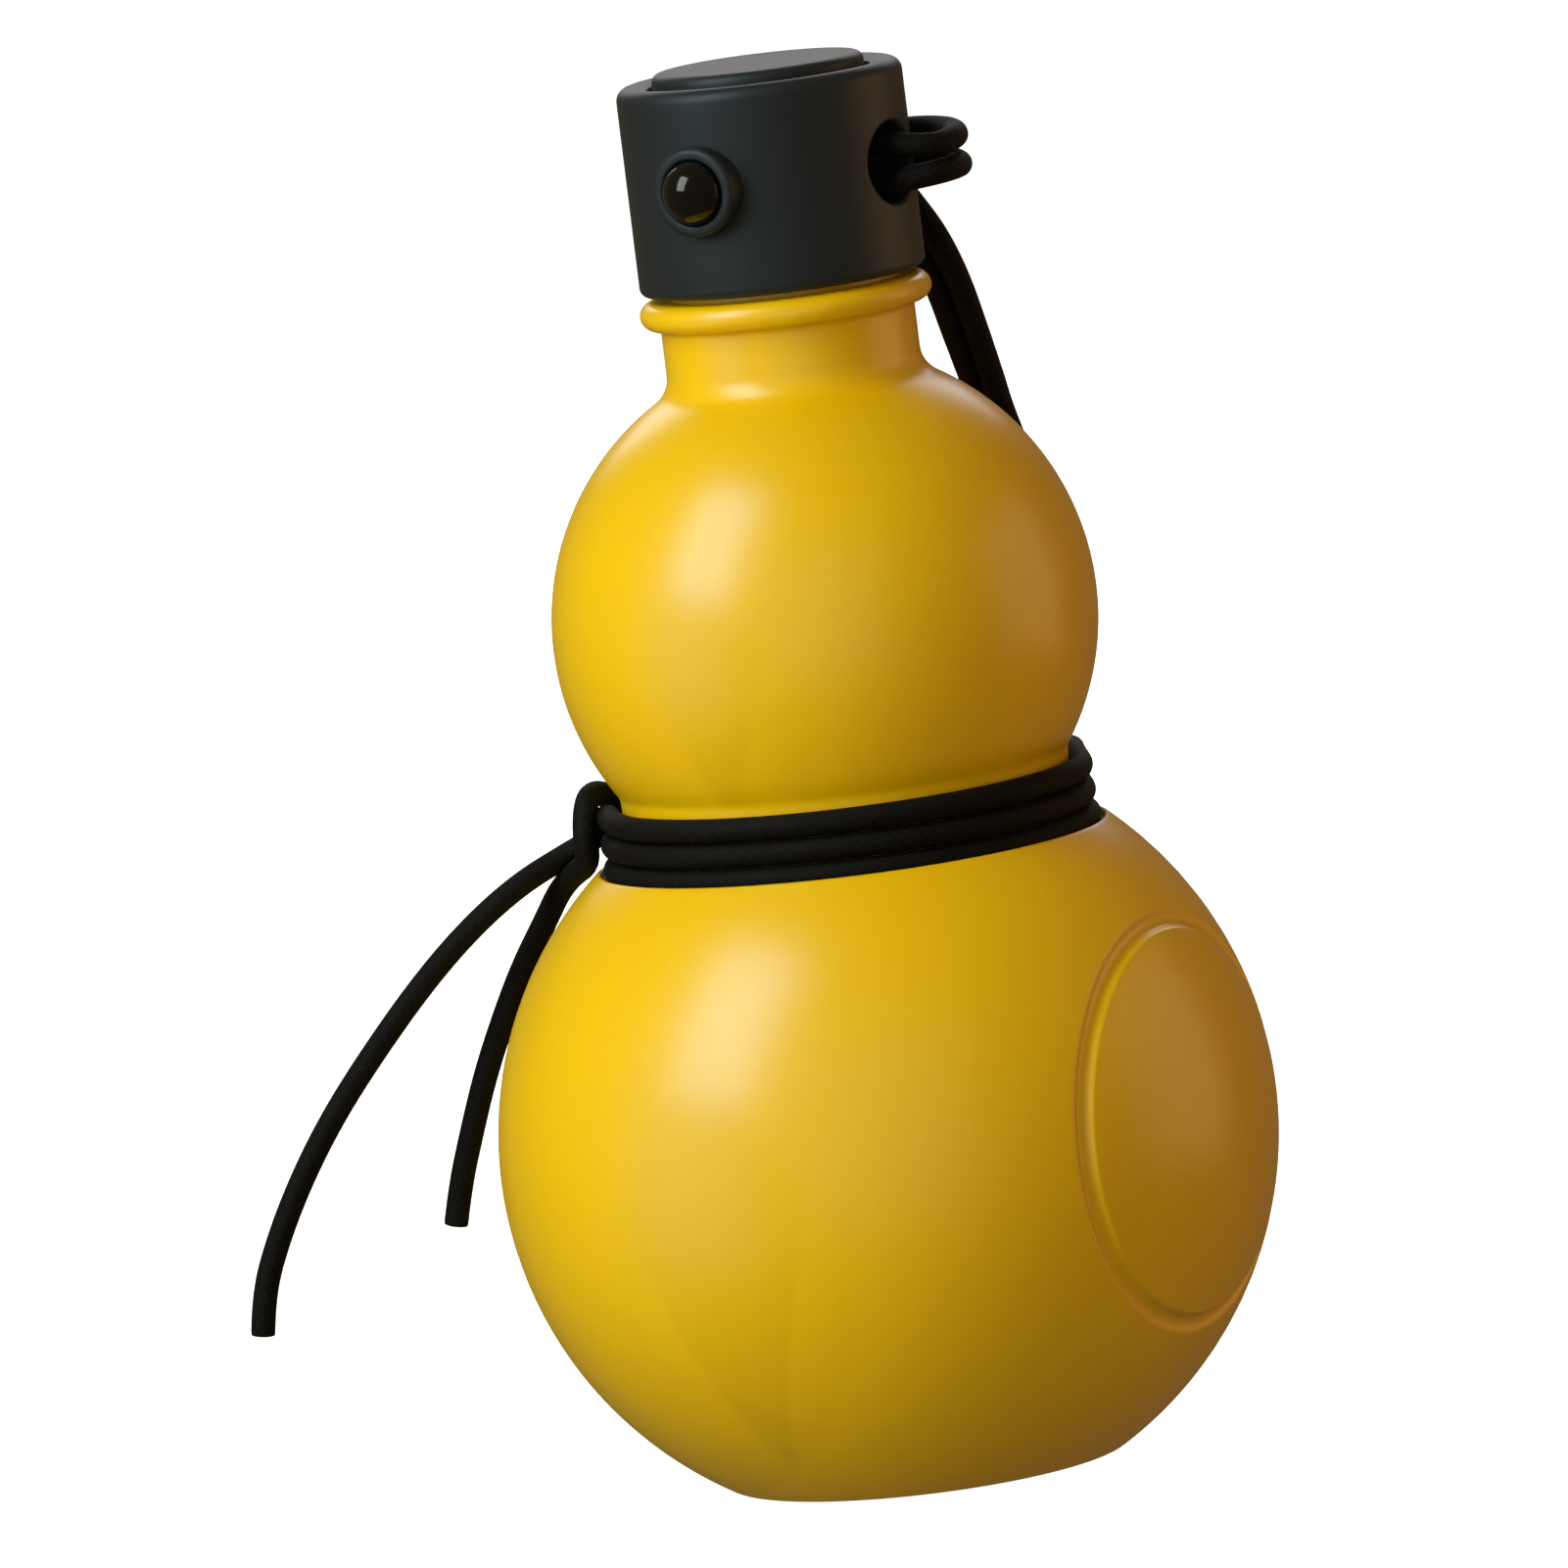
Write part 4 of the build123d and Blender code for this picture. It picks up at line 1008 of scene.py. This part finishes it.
def cord_piece(name, line, body, far_end, lay, *nodes):
    diameter = bpy.context.scene.gourd_cord.diameter
    piece = tube_piece(name, line, diameter, CORD_SIDES, CORD_STEP)
    finish_piece(piece, body, "cord", *nodes)
    return piece


def climb(turn):
    """How far the cord has climbed to its next level, after so many degrees of one turn."""
    return eased((turn - CLIMB_START) / (CLIMB_END - CLIMB_START))


def band(size, progress, lift=0.0):
    """A place of the winding after so many degrees, as radius, azimuth and height in millimetres."""
    level = np.floor(progress / 360) + climb(np.mod(progress, 360))
    radius = size.band_radius / MM / math.cos(math.radians(ROUND_STEP / 2)) + lift
    return (radius, STRAP_AZIMUTH - progress, (size.band_low + size.pitch * level) / MM)


def band_route(size):
    """The winding's control points: one each step, and six for each hump over its own start.

    The radius is that of a polygon whose spline runs at the band's own radius.
    """
    # Degrees from the crossing, and the lift as a share of the pitch
    hump = [(-25, 0.12), (-15, 0.55), (-7, 1.08), (6, 1.08), (12, 0.55), (20, 0.08)]
    humps = {360 * crossing + offset: size.pitch / MM * rise for crossing in (1, 2) for offset, rise in hump}
    last = 720 + STRAP_AZIMUTH - (KNOT_AZIMUTH - 360)
    plain = [ROUND_STEP * i for i in range(1, int(last // ROUND_STEP) + 1)]
    plain = [p for p in plain if min(abs(p - 360), abs(p - 720)) > CROSSING_REACH and last - p > END_REACH]
    stops = sorted(plain + list(humps) + [last])
    return [band(size, p, humps.get(p, 0.0)) for p in stops]


class GOURD_OT_cap_cord(bpy.types.Operator):
    """The cord at the cap: the bight round the pin, and the two strands down to the waist"""

    bl_idname = "gourd.cap_cord"
    bl_label = "Cap cord"

    def execute(self, context):
        low, high = polar(LOOP_LOW), polar(LOOP_HIGH)
        near, far = PIN_PLACE - BIGHT_RISE, PIN_PLACE + BIGHT_RISE
        bight = np.array([
            [far, 0, PIN_HEIGHT - BIGHT_RISE], [near, 0, PIN_HEIGHT - BIGHT_RISE],
            [near, 0, PIN_HEIGHT + BIGHT_RISE], [far, 0, PIN_HEIGHT + BIGHT_RISE],
        ]) * MM
        outer, inner = polar(STRAP_OUTER), polar(STRAP_INNER)
        low_end, high_end = (low[-1] + outer[0]) / 2, (high[-1] + inner[0]) / 2
        route = np.vstack([low_end, low[::-1], bight, high, high_end])
        cord_piece("cap_bight", nurbs_line("bight", route), "cap", "object", "taut", "cap_cord_loop")
        end, way = return_start(context.scene.gourd_cord)
        inner = np.vstack([inner, end - way * LEAVE_RUN, end])
        for name, start, route, node in (
            ("strap_outer", low_end, outer, "strap_strand_outer"),
            ("strap_inner", high_end, inner, "strap_strand_inner"),
        ):
            line, _ = even(nurbs_line(name, np.vstack([start, route])), CUT_STEP)
            cut = int(np.argmax(line[:, 2] < SPLIT_HEIGHT * MM))
            upper = cord_piece(name + "_top", line[:cut + 1], None, "object", "hanging", node)
            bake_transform(upper)
            lower = cord_piece(name + "_low", line[cut:], None, "object", "hanging")
            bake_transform(lower)
        return {"FINISHED"}


def return_place(size, azimuth):
    """A place on the stretch that lies on the turns, from the strap's inner strand to the knot."""
    level = 2 + climb(360 + STRAP_AZIMUTH - azimuth)
    side = (azimuth - RETURN_START) / (KNOT_AZIMUTH - RETURN_START)
    band_radius = size.band_radius / MM
    radius = band_radius + (RETURN_RADIUS - band_radius) * (1 - side)
    return (radius, azimuth, (size.band_low + size.pitch * level) / MM)


def return_start(size):
    """Where that stretch starts, and the way that it goes there."""
    start, ahead = polar([return_place(size, RETURN_START), return_place(size, RETURN_START + WAY_STEP)])
    return start, unit(ahead - start)


class GOURD_OT_waist_cord(bpy.types.Operator):
    """The cord at the waist: the turns into the knot's root and the long tail, and the return over
    them into the knot's wrap and the short tail"""

    bl_idname = "gourd.waist_cord"
    bl_label = "Waist cord"

    def execute(self, context):
        size = context.scene.gourd_cord
        corner = polar([STRAP_OUTER[-1], (STRAP_OUTER[-1][0], STRAP_AZIMUTH, size.band_low / MM)])
        radius, top = size.band_radius / MM, (size.band_low + 2 * size.pitch) / MM
        leave, ahead = polar([(radius, KNOT_AZIMUTH, top), (radius, KNOT_AZIMUTH - WAY_STEP, top)])
        root = leave + unit(ahead - leave) * ROOT_RUN
        turns = polar(band_route(size))[:-1]
        route = np.vstack([corner, turns, leave, root, polar(KNOT_ROOT), polar(TAIL_LONG)])
        cord_piece("waist_turns", nurbs_line("turns", route), "bottle", "bare", "coiled",
                   "waist_winding", "tail_long")
        lay = polar([return_place(size, a) for a in np.linspace(RETURN_START, RETURN_END, 9)])
        run_out = lay[-1] + unit(lay[-1] - lay[-2]) * LEAVE_RUN
        route = np.vstack([lay, run_out, polar(KNOT_WRAP), polar(TAIL_SHORT)])
        cord_piece("waist_lay", nurbs_line("lay", route), "bottle", "bare", "coiled",
                   "waist_return", "waist_knot", "tail_short")
        return {"FINISHED"}


class GOURD_OT_inner_parts(bpy.types.Operator):
    """Finishes on the parts inside the cap, which keep their solid shape"""

    bl_idname = "gourd.inner_parts"
    bl_label = "Inner parts"

    def execute(self, context):
        for node, finish in (("thread_insert", "cap"), ("lip_gasket", "rubber"), ("lanyard_pin", "steel"),
                             ("valve_disc", "rubber"), ("stem_clip", "steel")):
            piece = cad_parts[node]
            piece.data.materials.clear()
            piece.data.materials.append(material_named(finish))
        return {"FINISHED"}


# The studio

class GOURD_OT_studio(bpy.types.Operator):
    """Pale floor that sweeps up into a backdrop, soft lights and the camera"""

    bl_idname = "gourd.studio"
    bl_label = "Studio"
    # Millimetres in a pixel at the bottle's axis, the camera's distance in metres, and its angles
    SCALE = 0.146
    DISTANCE = 3.0
    AZIMUTH, ELEVATION, LEAN = 30.0, 7.0, 7.06
    FRAME = 1601
    CENTRE_PIXEL = (842.3, 631.0)
    SENSOR = 36
    # The floor, in metres: how far it is flat, its bend's radius, its wall's height, and how far it
    # lies below the standing ring
    FLAT, BEND, WALL, GAP = 4.5, 1.0, 6.0, 0.02 * MM
    TARGET_HEIGHT = 0.1
    # Each light's width and height, its place from the target in the camera's back, right and up ways
    # and straight up, in metres, its tint, and whether the gloss shows it
    LIGHTS = {
        "key": (0.6, 1.0, (0.68, -0.83, 0.72, 0), "#F6FFF8", True),
        "front": (1.8, 1.8, (1.7, -0.2, 0.1, 0), "#FFF4E4", False),
        "side": (0.9, 1.2, (0.6, -1.2, -0.1, 0), "#F2FFF4", False),
        "behind": (1.5, 1.0, (-1.6, 0, 0.3, 0), "#FFFFFF", False),
        "top": (1.2, 0.5, (-1.1, 0, 0, 0.75), "#FFFFFF", True),
        "fill": (0.8, 0.8, (-0.1, 1.1, 0, 0.1), "#FFBF86", True),
    }
    SKY = "#FFDBA8"

    def execute(self, context):
        self.floor(context.scene)
        self.lights(context.scene)
        self.camera(context.scene)
        return {"FINISHED"}

    def axes(self):
        """The camera's own back, right and up ways, before it is rolled."""
        a, e = math.radians(self.AZIMUTH), math.radians(self.ELEVATION)
        back = Vector((math.sin(a) * math.cos(e), -math.cos(a) * math.cos(e), math.sin(e)))
        right = Vector((math.cos(a), math.sin(a), 0))
        return back, right, back.cross(right)

    def camera(self, scene):
        """Places the camera so that the upper bulb's centre falls on its pixel, rolled by the lean."""
        back, right, up = self.axes()
        lean = math.radians(self.LEAN)
        roll_right = right * math.cos(lean) - up * math.sin(lean)
        roll_up = up * math.cos(lean) + right * math.sin(lean)
        pixel = self.SCALE * MM
        across, down = (place - self.FRAME / 2 for place in self.CENTRE_PIXEL)
        aim = Vector((0, 0, scene.gourd_body.upper_height)) - roll_right * across * pixel + roll_up * down * pixel
        data = bpy.data.cameras.new("camera")
        data.sensor_width = self.SENSOR
        data.lens = self.SENSOR * self.DISTANCE / (self.FRAME * pixel)
        data.clip_start, data.clip_end = 0.1, 50
        camera = bpy.data.objects.new("camera", data)
        scene.collection.objects.link(camera)
        turn = Matrix((roll_right, roll_up, back)).transposed().to_4x4()
        camera.matrix_world = Matrix.Translation(aim + back * self.DISTANCE) @ turn
        scene.camera = camera

    def floor(self, scene):
        """A round floor that curves up into a wall all round: a straight run, a quarter circle and a
        straight wall, turned about the bottle's axis. It stands outside every view's camera."""
        bend = arc((self.FLAT, self.BEND), self.BEND, -90, 0, 24)
        profile = np.vstack([[0, 0], bend, [self.FLAT + self.BEND, self.WALL]])
        points = turned(profile, 96) - [0, 0, self.GAP]
        material, tree, shader = new_material("backdrop_paper")
        grained_gloss(tree, shader, 6, 0.8, 0.9)
        paper = tinted(scene.gourd_finishes.floor)
        set_shader(shader, Base_Color=paper, Specular_IOR_Level=0.1, Emission_Color=paper,
                   Emission_Strength=scene.gourd_studio.glow)
        floor = grid_piece("floor", points)
        floor.data.materials.append(material)
        floor.visible_diffuse = floor.visible_glossy = False

    def lights(self, scene):
        """Soft rectangular lights, each turned towards the target, and the even light all round."""
        studio = scene.gourd_studio
        ways = [*self.axes(), Vector((0, 0, 1))]
        target = Vector((0, 0, self.TARGET_HEIGHT))
        for name, (width, height, shares, tint, shines) in self.LIGHTS.items():
            data = bpy.data.lights.new(name, "AREA")
            data.shape = "RECTANGLE"
            data.size, data.size_y = width, height
            data.energy = getattr(studio, name)
            data.color = linear(tint)
            lamp = bpy.data.objects.new(name, data)
            scene.collection.objects.link(lamp)
            lamp.visible_glossy = shines
            lamp.location = sum((way * share for way, share in zip(ways, shares)), target)
            lamp.rotation_euler = (target - lamp.location).to_track_quat("-Z", "Y").to_euler()
        world = bpy.data.worlds.new("studio")
        world.use_nodes = True
        sky = world.node_tree.nodes["Background"]
        sky.inputs["Color"].default_value = tinted(linear(self.SKY))
        sky.inputs["Strength"].default_value = studio.sky
        scene.world = world
        scene.view_settings.view_transform = "Standard"


class GOURD_PT_panel(bpy.types.Panel):
    """The bottle's operators, in the order in which they are run"""

    bl_idname = "GOURD_PT_panel"
    bl_label = "Gourd bottle"
    bl_space_type = "VIEW_3D"
    bl_region_type = "UI"
    bl_category = "Gourd bottle"

    def draw(self, context):
        for operator in OPERATORS:
            self.layout.operator(operator.bl_idname)
        for name, group in SETTINGS.items():
            box = self.layout.box()
            for key in group.__annotations__:
                box.prop(getattr(context.scene, name), key)


OPERATORS = [
    GOURD_OT_studio, GOURD_OT_cap_cord, GOURD_OT_waist_cord, GOURD_OT_upper_bulb, GOURD_OT_lower_bulb,
    GOURD_OT_base_dish, GOURD_OT_threads, GOURD_OT_cap_body, GOURD_OT_cap_disc, GOURD_OT_push_button,
    GOURD_OT_inner_parts,
]


def register():
    for group in SETTINGS.values():
        bpy.utils.register_class(group)
    for name, group in SETTINGS.items():
        setattr(bpy.types.Scene, name, PointerProperty(type=group))
    for item in [*OPERATORS, GOURD_PT_panel]:
        bpy.utils.register_class(item)


def unregister():
    for item in [GOURD_PT_panel, *reversed(OPERATORS)]:
        bpy.utils.unregister_class(item)
    for name in SETTINGS:
        delattr(bpy.types.Scene, name)
    for group in reversed(SETTINGS.values()):
        bpy.utils.unregister_class(group)


def main():
    register()
    for operator in OPERATORS:
        group, name = operator.bl_idname.split(".")
        getattr(getattr(bpy.ops, group), name)()


if __name__ == "__main__":
    main()
